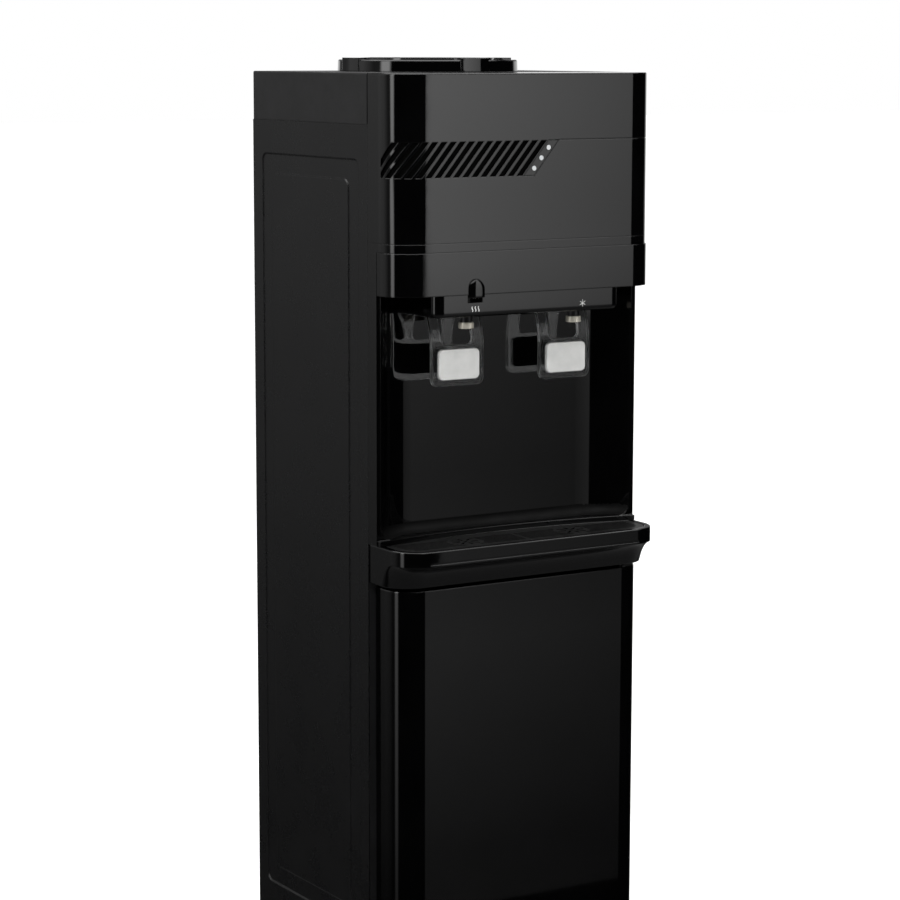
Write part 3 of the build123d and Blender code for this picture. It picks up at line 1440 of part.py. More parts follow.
def assemble():
    """Every piece by name."""
    hot = -tap_spacing / 2
    cold = tap_spacing / 2
    left = side_panel_left()
    return {
        "base_plinth": base_plinth(),
        "feet": feet(),
        "side_panel_left": left,
        "side_panel_right": mirror(left, about=Plane.YZ),
        "back_panel": back_panel(),
        "top_cover": top_cover(),
        "bottle_collar": bottle_collar(),
        "water_probe": water_probe(),
        "fascia": fascia(),
        "vent_baffle": vent_baffle(),
        "indicator_panel": indicator_panel(),
        "indicator_lenses": indicator_lenses(),
        "indicator_board": indicator_board(),
        "bay_panel": bay_panel(),
        "apron": apron(),
        "tap_housing": tap_housing(),
        "child_lock_button": child_lock_button(),
        "tap_body_hot": tap_body(hot),
        "tap_body_cold": tap_body(cold),
        "spout_hot": spout(hot),
        "spout_cold": spout(cold),
        "valve_plunger_hot": valve_plunger(hot),
        "valve_plunger_cold": valve_plunger(cold),
        "lever_hot": lever(hot),
        "lever_cold": lever(cold),
        "lever_pad_hot": lever_pad(hot),
        "lever_pad_cold": lever_pad(cold),
        "pivot_pins": pivot_pins(),
        "tap_nuts": tap_nuts(),
        "tray_housing": tray_housing(),
        "drip_tray": drip_tray(),
        "drip_grille": drip_grille(),
        "door": door(),
        "door_liner": door_liner(),
        "door_magnet": door_magnet(),
        "strike_plate": strike_plate(),
        "surround": surround(),
        "cabinet_liner": cabinet_liner(),
        "deck": deck(),
        "tank_bridge": tank_bridge(),
        "cold_tank": cold_tank(),
        "cold_foam": cold_foam(),
        "tank_lid": tank_lid(),
        "hot_tank": hot_tank(),
        "hot_foam_jacket": hot_foam_jacket(),
        "water_tubes": water_tubes(),
        "condenser": condenser(),
        "condenser_clips": condenser_clips(),
        "compressor": compressor(),
        "compressor_mounts": compressor_mounts(),
        "mount_bolts": mount_bolts(),
        "relay_cover": relay_cover(),
        "refrigerant_pipes": refrigerant_pipes(),
        "filter_drier": filter_drier(),
        "drain_outlet": drain_outlet(),
        "drain_cap": drain_cap(),
        "switch_bezel": switch_bezel(),
        "rocker_hot": rocker(switch_places()[0]),
        "rocker_cold": rocker(switch_places()[1]),
        "cord_gland": cord_gland(),
    }


os.makedirs("parts", exist_ok=True)
for name, piece in assemble().items():
    shape = Compound(children=[Compound(p.solids()) for p in piece]) if isinstance(piece, list) else piece
    export_step(shape, f"parts/{name}.step")
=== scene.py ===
import math

import bmesh
import bpy
from mathutils import Matrix, Vector


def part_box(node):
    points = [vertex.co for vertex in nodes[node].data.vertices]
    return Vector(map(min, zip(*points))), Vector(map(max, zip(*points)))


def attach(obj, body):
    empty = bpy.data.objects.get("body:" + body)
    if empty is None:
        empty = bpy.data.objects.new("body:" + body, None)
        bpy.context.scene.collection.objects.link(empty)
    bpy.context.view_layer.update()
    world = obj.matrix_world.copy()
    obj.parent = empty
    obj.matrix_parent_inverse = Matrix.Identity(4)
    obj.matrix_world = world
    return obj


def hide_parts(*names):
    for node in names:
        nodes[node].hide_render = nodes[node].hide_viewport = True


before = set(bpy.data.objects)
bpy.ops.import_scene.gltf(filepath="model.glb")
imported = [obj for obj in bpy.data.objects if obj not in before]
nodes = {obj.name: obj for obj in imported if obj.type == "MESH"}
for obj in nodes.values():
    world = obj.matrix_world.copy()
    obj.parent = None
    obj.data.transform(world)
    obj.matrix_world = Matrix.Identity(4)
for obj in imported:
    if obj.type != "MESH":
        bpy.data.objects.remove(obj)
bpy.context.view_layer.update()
MM = 0.001


# Shader building

def new_material(name):
    """An empty material with a Principled shader: returns it, its tree and the shader."""
    material = bpy.data.materials.new(name)
    material.use_nodes = True
    tree = material.node_tree
    tree.nodes.clear()
    shader = tree.nodes.new("ShaderNodeBsdfPrincipled")
    output = tree.nodes.new("ShaderNodeOutputMaterial")
    tree.links.new(shader.outputs["BSDF"], output.inputs["Surface"])
    return material, tree, shader


def place_of(tree, stretch=(1, 1, 1)):
    """Object coordinates in metres, stretched along each axis."""
    source = tree.nodes.new("ShaderNodeTexCoord").outputs["Object"]
    if tuple(stretch) == (1, 1, 1):
        return source
    mapping = tree.nodes.new("ShaderNodeMapping")
    mapping.inputs["Scale"].default_value = stretch
    tree.links.new(source, mapping.inputs["Vector"])
    return mapping.outputs["Vector"]


def noise(tree, size, detail=3.0, stretch=(1, 1, 1), rough=0.5):
    """Smooth noise whose features are about `size` metres across."""
    node = tree.nodes.new("ShaderNodeTexNoise")
    node.inputs["Scale"].default_value = 1.0 / size
    node.inputs["Detail"].default_value = detail
    node.inputs["Roughness"].default_value = rough
    tree.links.new(place_of(tree, stretch), node.inputs["Vector"])
    return node.outputs["Fac"]


def cells(tree, size, feature="F1", output="Distance"):
    """Cell pattern with cells about `size` metres across."""
    node = tree.nodes.new("ShaderNodeTexVoronoi")
    node.feature = feature
    node.inputs["Scale"].default_value = 1.0 / size
    tree.links.new(place_of(tree), node.inputs["Vector"])
    return node.outputs[output]


def spread(tree, source, low, high, start=0.3, end=0.7):
    """Maps a 0 to 1 pattern to the range low to high."""
    node = tree.nodes.new("ShaderNodeMapRange")
    node.inputs["From Min"].default_value = start
    node.inputs["From Max"].default_value = end
    node.inputs["To Min"].default_value = low
    node.inputs["To Max"].default_value = high
    tree.links.new(source, node.inputs["Value"])
    return node.outputs["Result"]


def calc(tree, operation, first, second=0.0):
    """One step of arithmetic on sockets or numbers."""
    node = tree.nodes.new("ShaderNodeMath")
    node.operation = operation
    for place, value in enumerate((first, second)):
        if isinstance(value, (int, float)):
            node.inputs[place].default_value = value
        else:
            tree.links.new(value, node.inputs[place])
    return node.outputs["Value"]


def ramp(tree, source, stops):
    """Colour ramp: stops are (place, colour) with a number or three numbers as colour."""
    node = tree.nodes.new("ShaderNodeValToRGB")
    elements = node.color_ramp.elements
    while len(elements) < len(stops):
        elements.new(0.5)
    for element, (place, colour) in zip(elements, stops):
        element.position = place
        tone = (colour,) * 3 if isinstance(colour, (int, float)) else tuple(colour)
        element.color = tone + (1.0,)
    tree.links.new(source, node.inputs["Fac"])
    return node.outputs["Color"]


def soft_edges(tree, radius):
    """Normal that rounds every edge over a small radius in metres."""
    node = tree.nodes.new("ShaderNodeBevel")
    node.samples = 4
    node.inputs["Radius"].default_value = radius
    return node.outputs["Normal"]


def bump(tree, layers, edge=0.0):
    """Chain of bump nodes: layers are (height socket, depth in metres)."""
    normal = soft_edges(tree, edge) if edge else None
    for height, depth in layers:
        node = tree.nodes.new("ShaderNodeBump")
        node.inputs["Strength"].default_value = 1.0
        node.inputs["Distance"].default_value = depth
        tree.links.new(height, node.inputs["Height"])
        if normal is not None:
            tree.links.new(normal, node.inputs["Normal"])
        normal = node.outputs["Normal"]
    return normal


def finish_of(name, dark, light, rough, grain, metal=0.0, patch=0.06, specks=0.0, stretch=(1, 1, 1),
              edge=0.0):
    """A surface with mottled colour, uneven roughness and layered relief.

    dark and light are the ends of the colour range, rough is (low, high), and grain is a list
    of (size, depth) in metres. specks adds fine dust that dulls the surface in places.
    """
    material, tree, shader = new_material(name)
    tone = noise(tree, patch, 4.0, stretch)
    colour = ramp(tree, tone, [(0.3, dark), (0.7, light)])
    tree.links.new(colour, shader.inputs["Base Color"])
    level = spread(tree, noise(tree, patch * 0.4, 5.0, stretch, 0.6), rough[0], rough[1])
    if specks:
        dust = spread(tree, noise(tree, 0.0012, 2.0), 0.0, specks, 0.62, 0.72)
        level = calc(tree, "ADD", level, dust)
    tree.links.new(level, shader.inputs["Roughness"])
    layers = [(noise(tree, size, 3.0, stretch), depth) for size, depth in grain]
    tree.links.new(bump(tree, layers, edge), shader.inputs["Normal"])
    shader.inputs["Metallic"].default_value = metal
    return material, tree, shader


# Finishes

def gloss_black():
    """High-gloss moulded black with the faint waviness of a large moulding."""
    return finish_of(
        "gloss_black", (0.0004, 0.0004, 0.00045), (0.0009, 0.0009, 0.001), (0.035, 0.06),
        [(0.012, 0.000009), (0.004, 0.0000016)], specks=0.04, edge=0.0013)[0]


def black_steel():
    """Powder-coated sheet: fine orange peel over a slightly uneven coat."""
    return finish_of(
        "black_steel", (0.0016, 0.0016, 0.0018), (0.0026, 0.0026, 0.0029), (0.25, 0.31),
        [(0.0022, 0.00001), (0.0007, 0.000004)], patch=0.09, specks=0.02, edge=0.0014)[0]


def satin_black():
    """Fine-textured black moulding."""
    return finish_of(
        "satin_black", (0.006, 0.006, 0.0062), (0.0095, 0.0095, 0.01), (0.3, 0.42),
        [(0.0009, 0.00003), (0.0003, 0.00001)], patch=0.04, specks=0.1)[0]


def dark_baffle():
    """Matt black sheet seen through the vent."""
    material, _, shader = finish_of(
        "dark_baffle", (0.0006, 0.0006, 0.0006), (0.0012, 0.0012, 0.0012), (0.8, 0.95),
        [(0.0008, 0.00003)], patch=0.03)
    shader.inputs["Specular IOR Level"].default_value = 0.08
    return material


def near_edges(tree, radius):
    """0 on open faces and 1 within a radius in metres of an edge."""
    geometry = tree.nodes.new("ShaderNodeNewGeometry")
    node = tree.nodes.new("ShaderNodeVectorMath")
    node.operation = "DOT_PRODUCT"
    tree.links.new(soft_edges(tree, radius), node.inputs[0])
    tree.links.new(geometry.outputs["Normal"], node.inputs[1])
    return spread(tree, node.outputs["Value"], 0.0, 1.0, 0.99, 0.9)


def clear_plastic():
    """Clear moulding with faint flow marks, frosted along its edges."""
    material, tree, shader = new_material("clear_plastic")
    tone = noise(tree, 0.02, 3.0)
    tree.links.new(ramp(tree, tone, [(0.3, (0.94, 0.95, 0.95)), (0.7, (0.985, 0.99, 0.99))]),
                   shader.inputs["Base Color"])
    frost = calc(tree, "MULTIPLY", near_edges(tree, 0.0022), 0.78)
    clear = spread(tree, noise(tree, 0.008, 4.0), 0.0, 0.03)
    tree.links.new(calc(tree, "MAXIMUM", frost, clear), shader.inputs["Roughness"])
    tree.links.new(bump(tree, [(noise(tree, 0.006, 2.0), 0.00006)]), shader.inputs["Normal"])
    shader.inputs["Transmission Weight"].default_value = 1.0
    shader.inputs["IOR"].default_value = 1.25
    return material


def silver():
    """Satin silver coat over a moulded insert, finely sprayed."""
    return finish_of(
        "silver", (0.60, 0.605, 0.59), (0.70, 0.70, 0.685), (0.34, 0.46),
        [(0.0006, 0.00001), (0.0002, 0.000004)], metal=0.25, patch=0.015)[0]


def spout_metal():
    """Nickel-plated nozzle with a warm, brushed surface."""
    return finish_of(
        "spout_metal", (0.52, 0.49, 0.41), (0.70, 0.67, 0.58), (0.26, 0.38),
        [(0.0009, 0.000012)], metal=0.5, patch=0.006)[0]


def upward(tree, low, high):
    """0 on upright faces and 1 on faces that look up, by the height of the face's own normal."""
    split = tree.nodes.new("ShaderNodeSeparateXYZ")
    geometry = tree.nodes.new("ShaderNodeNewGeometry")
    tree.links.new(geometry.outputs["True Normal"], split.inputs["Vector"])
    return spread(tree, split.outputs["Z"], 0.0, 1.0, low, high)


def grille_black():
    """Fine-grained black moulding with painted light and shade: paler on top as a painted highlight and
    painted dark down the slots as painted shade.
    """
    material, tree, shader = finish_of(
        "grille_black", (0.011, 0.011, 0.0115), (0.018, 0.018, 0.0185), (0.3, 0.42),
        [(0.0009, 0.00002), (0.0003, 0.000008)], patch=0.03)
    top = upward(tree, 0.3, 0.8)
    # Painted light and shade: faces that look up get a paler, patchy colour as painted light, and the slot
    # walls are painted near black as painted shade.
    lit_tops_shaded_slots = ramp(tree, calc(tree, "MULTIPLY", noise(tree, 0.03, 4.0), top),
                  [(0.02, 0.0003), (0.35, 0.009), (0.6, 0.014)])
    tree.links.new(lit_tops_shaded_slots, shader.inputs["Base Color"])
    tree.links.new(spread(tree, top, 0.9, 0.34, 0.0, 1.0), shader.inputs["Roughness"])
    shader.inputs["Specular IOR Level"].default_value = 0.16
    return material


def painted_shade_black():
    """Matt black skin for the hollow sweep at the foot of the bay wall, low in gloss so that the sweep
    stays dark: painted shade in place of the bright band the studio would mirror there.
    """
    material, _, shader = finish_of(
        "painted_shade_black", (0.0012, 0.0012, 0.0012), (0.0024, 0.0024, 0.0024), (0.5, 0.62),
        [(0.0012, 0.00002)], patch=0.04)
    # Low gloss so that the sweep shows no bright reflection: painted shade.
    shader.inputs["Specular IOR Level"].default_value = 0.12
    return material


def well_black():
    """Matt black inside of the drip tray."""
    material, _, shader = finish_of(
        "well_black", (0.0008, 0.0008, 0.0008), (0.0016, 0.0016, 0.0016), (0.6, 0.8),
        [(0.0009, 0.00003)], patch=0.03)
    shader.inputs["Specular IOR Level"].default_value = 0.2
    return material


def steel():
    """Drawn and turned steel: fine lines along one way."""
    return finish_of(
        "steel", (0.46, 0.46, 0.46), (0.62, 0.62, 0.61), (0.2, 0.36),
        [(0.0008, 0.000012)], metal=1.0, patch=0.02, stretch=(1, 1, 0.08))[0]


def galvanised():
    """Zinc-coated sheet with spangle and faint handling marks."""
    material, tree, shader = new_material("galvanised")
    spangle = cells(tree, 0.011, "F1", "Color")
    grey = tree.nodes.new("ShaderNodeRGBToBW")
    tree.links.new(spangle, grey.inputs["Color"])
    tone = calc(tree, "ADD", calc(tree, "MULTIPLY", grey.outputs["Val"], 0.6),
                calc(tree, "MULTIPLY", noise(tree, 0.05, 5.0), 0.4))
    tree.links.new(ramp(tree, tone, [(0.25, (0.34, 0.35, 0.36)), (0.75, (0.52, 0.53, 0.54))]),
                   shader.inputs["Base Color"])
    tree.links.new(spread(tree, tone, 0.32, 0.55, 0.2, 0.8), shader.inputs["Roughness"])
    relief = bump(tree, [(tone, 0.000012), (noise(tree, 0.0006, 2.0), 0.000008)])
    tree.links.new(relief, shader.inputs["Normal"])
    shader.inputs["Metallic"].default_value = 0.75
    return material


def lens():
    """Pale translucent lens with a fine diffusing grain."""
    material, _, shader = finish_of(
        "lens", (0.58, 0.60, 0.61), (0.72, 0.74, 0.75), (0.12, 0.24),
        [(0.0005, 0.00001)], patch=0.004)
    shader.inputs["Transmission Weight"].default_value = 0.15
    return material


def board():
    """Green lacquered board with copper tracks showing through."""
    material, tree, shader = new_material("board")
    track = cells(tree, 0.005, "DISTANCE_TO_EDGE", "Distance")
    line = ramp(tree, track, [(0.02, (0.02, 0.20, 0.08)), (0.06, (0.012, 0.11, 0.045))])
    tree.links.new(line, shader.inputs["Base Color"])
    tree.links.new(spread(tree, noise(tree, 0.006, 3.0), 0.2, 0.34), shader.inputs["Roughness"])
    tree.links.new(bump(tree, [(track, 0.00004)]), shader.inputs["Normal"])
    return material


def rubber():
    """Moulded rubber with a dry bloom."""
    return finish_of(
        "rubber", (0.012, 0.012, 0.012), (0.026, 0.026, 0.025), (0.6, 0.8),
        [(0.0012, 0.00004), (0.0004, 0.00002)], patch=0.012, specks=0.1)[0]


def foam():
    """Cut expanded foam: packed beads."""
    material, tree, shader = new_material("foam")
    bead = cells(tree, 0.004)
    tree.links.new(ramp(tree, bead, [(0.1, (0.86, 0.85, 0.80)), (0.7, (0.66, 0.65, 0.60))]),
                   shader.inputs["Base Color"])
    tree.links.new(spread(tree, noise(tree, 0.01, 4.0), 0.7, 0.9), shader.inputs["Roughness"])
    relief = bump(tree, [(calc(tree, "SUBTRACT", 1.0, bead), 0.0009), (noise(tree, 0.0008, 2.0), 0.0001)])
    tree.links.new(relief, shader.inputs["Normal"])
    return material


def tube():
    """Milky silicone tube."""
    material, _, shader = finish_of(
        "tube", (0.66, 0.66, 0.62), (0.80, 0.80, 0.77), (0.3, 0.45),
        [(0.002, 0.00003)], patch=0.03)
    shader.inputs["Transmission Weight"].default_value = 0.25
    return material


def white_plastic():
    """Plain white moulding."""
    return finish_of(
        "white_plastic", (0.68, 0.68, 0.66), (0.78, 0.78, 0.765), (0.3, 0.42),
        [(0.0012, 0.00002), (0.0004, 0.000008)], patch=0.04)[0]


def copper():
    """Drawn copper pipe, brightest where it was handled last."""
    return finish_of(
        "copper", (0.42, 0.18, 0.10), (0.72, 0.38, 0.25), (0.22, 0.42),
        [(0.0008, 0.00001)], metal=1.0, patch=0.02)[0]


def compressor_black():
    """Thick dipped paint with runs."""
    return finish_of(
        "compressor_black", (0.008, 0.008, 0.009), (0.018, 0.018, 0.019), (0.22, 0.4),
        [(0.008, 0.00018), (0.0012, 0.00003)], patch=0.03, specks=0.2)[0]


def magnet():
    """Dull brown-black magnet strip."""
    return finish_of(
        "magnet", (0.02, 0.018, 0.017), (0.04, 0.036, 0.034), (0.5, 0.7),
        [(0.0006, 0.00003)], patch=0.01)[0]


def switch_red():
    """Red rocker key."""
    return finish_of(
        "switch_red", (0.36, 0.012, 0.012), (0.5, 0.024, 0.02), (0.18, 0.3),
        [(0.0007, 0.00001)], patch=0.008)[0]


def switch_green():
    """Green rocker key."""
    return finish_of(
        "switch_green", (0.012, 0.20, 0.05), (0.025, 0.30, 0.08), (0.18, 0.3),
        [(0.0007, 0.00001)], patch=0.008)[0]


makers = [
    gloss_black, black_steel, satin_black, dark_baffle, clear_plastic, silver, spout_metal,
    grille_black, painted_shade_black, well_black, steel, galvanised, lens, board, rubber, foam, tube,
    white_plastic, copper, compressor_black, magnet, switch_red, switch_green,
]
finishes = {maker.__name__: maker() for maker in makers}


own_finish = {
    "drip_grille": "grille_black",
    "drip_tray": "well_black",
    "spout_hot": "spout_metal",
    "spout_cold": "spout_metal",
}


def dress_nodes():
    """Gives every carried-over node the finish of its slot, or its own where one is listed."""
    for name, obj in nodes.items():
        for place in obj.material_slots:
            slot = place.material.name.split(".")[0]
            place.material = finishes[own_finish.get(name, slot)]


dress_nodes()


# Camera

def aim_camera():
    """Camera at the photograph's place: left of the front, level with the cover."""
    yaw, pitch, roll = math.radians(31.61), math.radians(8.50), math.radians(0.114)
    forward = Vector((math.sin(yaw) * math.cos(pitch), math.cos(yaw) * math.cos(pitch), -math.sin(pitch)))
    side = Vector((math.cos(yaw), -math.sin(yaw), 0))
    up = side.cross(forward)
    across = math.cos(roll) * side + math.sin(roll) * up
    above = math.cos(roll) * up - math.sin(roll) * side
    data = bpy.data.cameras.new("camera")
    data.lens = 108.03
    data.sensor_width = 36.0
    camera = bpy.data.objects.new("camera", data)
    bpy.context.collection.objects.link(camera)
    turn = Matrix((across, above, -forward)).transposed()
    camera.matrix_world = Matrix.Translation((-1.4723, -2.3904, 0.9906)) @ turn.to_4x4()
    bpy.context.scene.camera = camera


aim_camera()


# Studio

def by_bearing(tree, bearing, stops):
    """Brightness round the object: stops are (degrees, brightness)."""
    return ramp(tree, bearing, [((degrees + 180.0) / 360.0, value) for degrees, value in stops])


def by_height(tree, height, stops):
    """Brightness from straight down (-1) to straight up (1): stops are (rise, brightness)."""
    return ramp(tree, height, [((rise + 1) / 2, value) for rise, value in stops])


def studio_world():
    """White for the camera and through clear pieces, and a softly lit studio in gloss and metal."""
    wall_level = 5.12
    crown_level = 2.2
    soft = 0.62
    world = bpy.data.worlds.new("studio")
    bpy.context.scene.world = world
    world.use_nodes = True
    tree = world.node_tree
    tree.nodes.clear()
    output = tree.nodes.new("ShaderNodeOutputWorld")
    background = tree.nodes.new("ShaderNodeBackground")
    tree.links.new(background.outputs["Background"], output.inputs["Surface"])
    background.inputs["Color"].default_value = (1, 1, 1, 1)
    split = tree.nodes.new("ShaderNodeSeparateXYZ")
    tree.links.new(tree.nodes.new("ShaderNodeTexCoord").outputs["Generated"], split.inputs["Vector"])
    x, y, z = (split.outputs[axis] for axis in "XYZ")
    bearing = calc(tree, "ARCTAN2", calc(tree, "MULTIPLY", x, -1.0), calc(tree, "MULTIPLY", y, -1.0))
    bearing = calc(tree, "ADD", calc(tree, "DIVIDE", bearing, 2 * math.pi), 0.5)
    walls = by_bearing(tree, bearing, (
        (-180, 0.07), (-175, 0.0), (-36, 0.002), (78, 0.002), (81, 0.98), (91, 1.0), (94.5, 0.05),
        (104, 0.045), (112, 0.1), (121, 0.15), (140, 0.13), (148, 0.11), (153, 0.06), (160, 0.035),
        (179, 0.03)))
    height = calc(tree, "MULTIPLY", calc(tree, "ADD", z, 1.0), 0.5)
    rise = by_height(tree, height, (
        (-0.36, 0.0), (-0.3, 0.048), (-0.25, 0.12), (-0.2, 0.21), (-0.1, 0.43), (0.0, 0.71),
        (0.1, 1.0), (0.4, 1.0), (0.6, 0.3)))
    walls = calc(tree, "MULTIPLY", calc(tree, "MULTIPLY", walls, rise), wall_level)
    backdrop = by_bearing(tree, bearing, ((-178, 0.0), (-174, 1.0), (-118, 1.0), (-110, 0.0)))
    low = by_height(tree, height, ((-0.1, 0.05), (0.0, 1.0), (0.06, 1.0), (0.13, 0.22)))
    backdrop = calc(tree, "MULTIPLY", backdrop, low)
    ground = by_height(tree, height, (
        (-0.45, 0.13), (-0.36, 0.0), (0.5, 0.0), (0.62, 0.1), (0.8, 1.0), (1.0, 1.0)))
    crown = by_height(tree, height, ((0.62, 0.0), (0.8, 1.0)))
    ground = calc(tree, "ADD", ground, calc(tree, "MULTIPLY", crown, crown_level))
    studio = calc(tree, "MAXIMUM", calc(tree, "MAXIMUM", walls, backdrop), ground)
    path = tree.nodes.new("ShaderNodeLightPath")
    glossy = path.outputs["Is Glossy Ray"]
    seen = calc(tree, "MAXIMUM", path.outputs["Is Camera Ray"], path.outputs["Is Transmission Ray"])
    level = calc(tree, "ADD", calc(tree, "MULTIPLY", calc(tree, "SUBTRACT", studio, soft), glossy), soft)
    level = calc(tree, "ADD", calc(tree, "MULTIPLY", calc(tree, "SUBTRACT", 1.0, level), seen), level)
    tree.links.new(level, background.inputs["Strength"])


def sheet_object(name, corners):
    """Flat four-cornered stage piece."""
    mesh = bpy.data.meshes.new(name)
    mesh.from_pydata([Vector(corner) for corner in corners], [], [(0, 1, 2, 3)])
    obj = bpy.data.objects.new(name, mesh)
    bpy.context.collection.objects.link(obj)
    return obj


def studio_floor():
    """Plain pale floor that runs out to white and keeps the soft shadow."""
    reach = 30
    glow = 0.62
    floor = sheet_object("floor", [
        (-reach, -reach, 0), (reach, -reach, 0), (reach, reach, 0), (-reach, reach, 0)])
    material, tree, shader = new_material("pale_floor")
    tone = ramp(tree, noise(tree, 0.6, 4.0), [(0.3, 0.78), (0.7, 0.82)])
    tree.links.new(tone, shader.inputs["Base Color"])
    tree.links.new(spread(tree, noise(tree, 0.2, 3.0), 0.75, 0.9), shader.inputs["Roughness"])
    path = tree.nodes.new("ShaderNodeLightPath")
    seen = calc(tree, "MAXIMUM", path.outputs["Is Camera Ray"],
                calc(tree, "MAXIMUM", path.outputs["Is Glossy Ray"], path.outputs["Is Transmission Ray"]))
    shader.inputs["Emission Color"].default_value = (1, 1, 1, 1)
    tree.links.new(calc(tree, "MULTIPLY", seen, glow), shader.inputs["Emission Strength"])
    floor.data.materials.append(material)
    floor.visible_glossy = False


def side_card():
    """Soft card right of the front, seen only as the sheen on the flat gloss faces."""
    left, right = 0.15, 0.46
    bottom, top = -0.05, 1.15
    ahead = -0.6
    full_height = 1.2
    brightest = 2.4
    card = sheet_object("side_card", [
        (left, ahead, bottom), (right, ahead, bottom), (right, ahead, top), (left, ahead, top)])
    material = bpy.data.materials.new("card_light")
    material.use_nodes = True
    tree = material.node_tree
    tree.nodes.clear()
    split = tree.nodes.new("ShaderNodeSeparateXYZ")
    tree.links.new(place_of(tree), split.inputs["Vector"])
    height = calc(tree, "DIVIDE", split.outputs["Z"], full_height)
    up = ramp(tree, height, [(z / full_height, value / brightest) for z, value in (
        (0.02, 0.12), (0.15, 0.22), (0.28, 0.33), (0.47, 0.29), (0.53, 0.33), (0.62, 0.4), (0.663, 0.45),
        (0.682, 1.4), (0.745, 1.75), (0.82, 1.83), (0.93, 2.1), (1.1, 2.3))])
    across = spread(tree, split.outputs["X"], 1.0, 0.55, left, right)
    level = calc(tree, "MULTIPLY", calc(tree, "MULTIPLY", up, across), brightest)
    light = tree.nodes.new("ShaderNodeEmission")
    tree.links.new(level, light.inputs["Strength"])
    output = tree.nodes.new("ShaderNodeOutputMaterial")
    tree.links.new(light.outputs["Emission"], output.inputs["Surface"])
    card.data.materials.append(material)
    card.visible_camera = False
    card.visible_diffuse = False
    card.visible_shadow = False
    card.visible_transmission = False


def lamp(name, place, aim, size, power):
    """Square soft lamp aimed at a point."""
    data = bpy.data.lights.new(name, "AREA")
    data.size = size
    data.energy = power
    obj = bpy.data.objects.new(name, data)
    bpy.context.collection.objects.link(obj)
    obj.location = place
    obj.rotation_mode = "QUATERNION"
    obj.rotation_quaternion = (Vector(aim) - Vector(place)).to_track_quat("-Z", "Y")
    obj.visible_glossy = False


bpy.context.scene.view_settings.view_transform = "Standard"
studio_world()
studio_floor()
side_card()
lamp("key", (-1.2, -1.6, 2.6), (0, 0, 0.7), 1.0, 50.0)
lamp("top", (0.6, 0.8, 3.0), (0, 0, 0.7), 1.5, 40.0)


# Small pieces that the solids leave to this script, in millimetres

panel_face = 143.8
bezel_face = 146.3


def add_piece(name, mesh, body, finish):
    """Puts a mesh in the scene, gives it a finish and lets it ride on a body."""
    obj = bpy.data.objects.new(name, mesh)
    bpy.context.collection.objects.link(obj)
    obj.data.materials.append(finishes[finish])
    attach(obj, body)
    return obj


def facing(direction, place):
    """Matrix that turns local +Z to a direction and moves to a place, both in millimetres."""
    turn = Vector(direction).to_track_quat("Z", "Y").to_matrix().to_4x4()
    return Matrix.Translation(Vector(place) * MM) @ turn


def smooth_mesh(shape, name, sharp=35.0):
    """Mesh of a bmesh, smooth except where faces meet sharply."""
    bmesh.ops.recalc_face_normals(shape, faces=shape.faces[:])
    for face in shape.faces:
        face.smooth = True
    for edge in shape.edges:
        if len(edge.link_faces) == 2 and edge.calc_face_angle() > math.radians(sharp):
            edge.smooth = False
    mesh = bpy.data.meshes.new(name)
    shape.to_mesh(mesh)
    shape.free()
    return mesh


def turned(shape, profile, count, matrix):
    """Adds a turned form to shape: profile is (radius, height) in millimetres, bottom to top."""
    rings = []
    for radius, height in profile:
        ring = []
        for step in range(count):
            angle = 2 * math.pi * step / count
            point = Vector((radius * math.cos(angle), radius * math.sin(angle), height)) * MM
            ring.append(shape.verts.new(matrix @ point))
        rings.append(ring)
    for low, high in zip(rings, rings[1:]):
        for step in range(count):
            after = (step + 1) % count
            shape.faces.new((low[step], low[after], high[after], high[step]))
    return rings


def cross_screw(shape, place, direction, radius=3.6, head=1.7):
    """Pan-head screw with a cross recess, added to shape."""
    matrix = facing(direction, place)
    sides = 24
    recess_depth = 0.9
    recess_taper = 0.7
    rim = 0.72 * radius
    profile = [(radius, -0.4), (radius, 0.35 * head), (0.94 * radius, 0.7 * head), (rim, head)]
    rings = turned(shape, profile, sides, matrix)
    arm, slot = 0.52 * radius, 0.13 * radius
    outline = []
    for quarter in range(4):
        angle = quarter * math.pi / 2
        for along, aside in ((arm, -slot), (arm, slot), (slot, slot)):
            x = along * math.cos(angle) - aside * math.sin(angle)
            y = along * math.sin(angle) + aside * math.cos(angle)
            outline.append((x, y))
    floor = [(x * recess_taper, y * recess_taper) for x, y in outline]
    top = [shape.verts.new(matrix @ (Vector((x, y, head)) * MM)) for x, y in outline]
    low = [shape.verts.new(matrix @ (Vector((x, y, head - recess_depth)) * MM)) for x, y in floor]
    corners = len(outline)
    edges = [shape.edges.new((top[i], top[(i + 1) % corners])) for i in range(corners)]
    last = rings[-1]
    edges += [shape.edges.get((last[i], last[(i + 1) % sides])) for i in range(sides)]
    bmesh.ops.triangle_fill(shape, edges=edges, use_beauty=True)
    for i in range(corners):
        after = (i + 1) % corners
        shape.faces.new((top[i], top[after], low[after], low[i]))
    shape.faces.new(low)


def screws(name, places, direction, body, finish, radius=3.6, head=1.7):
    """One piece holding a row of equal screws."""
    shape = bmesh.new()
    for place in places:
        cross_screw(shape, place, direction, radius, head)
    add_piece(name, smooth_mesh(shape, name), body, finish)


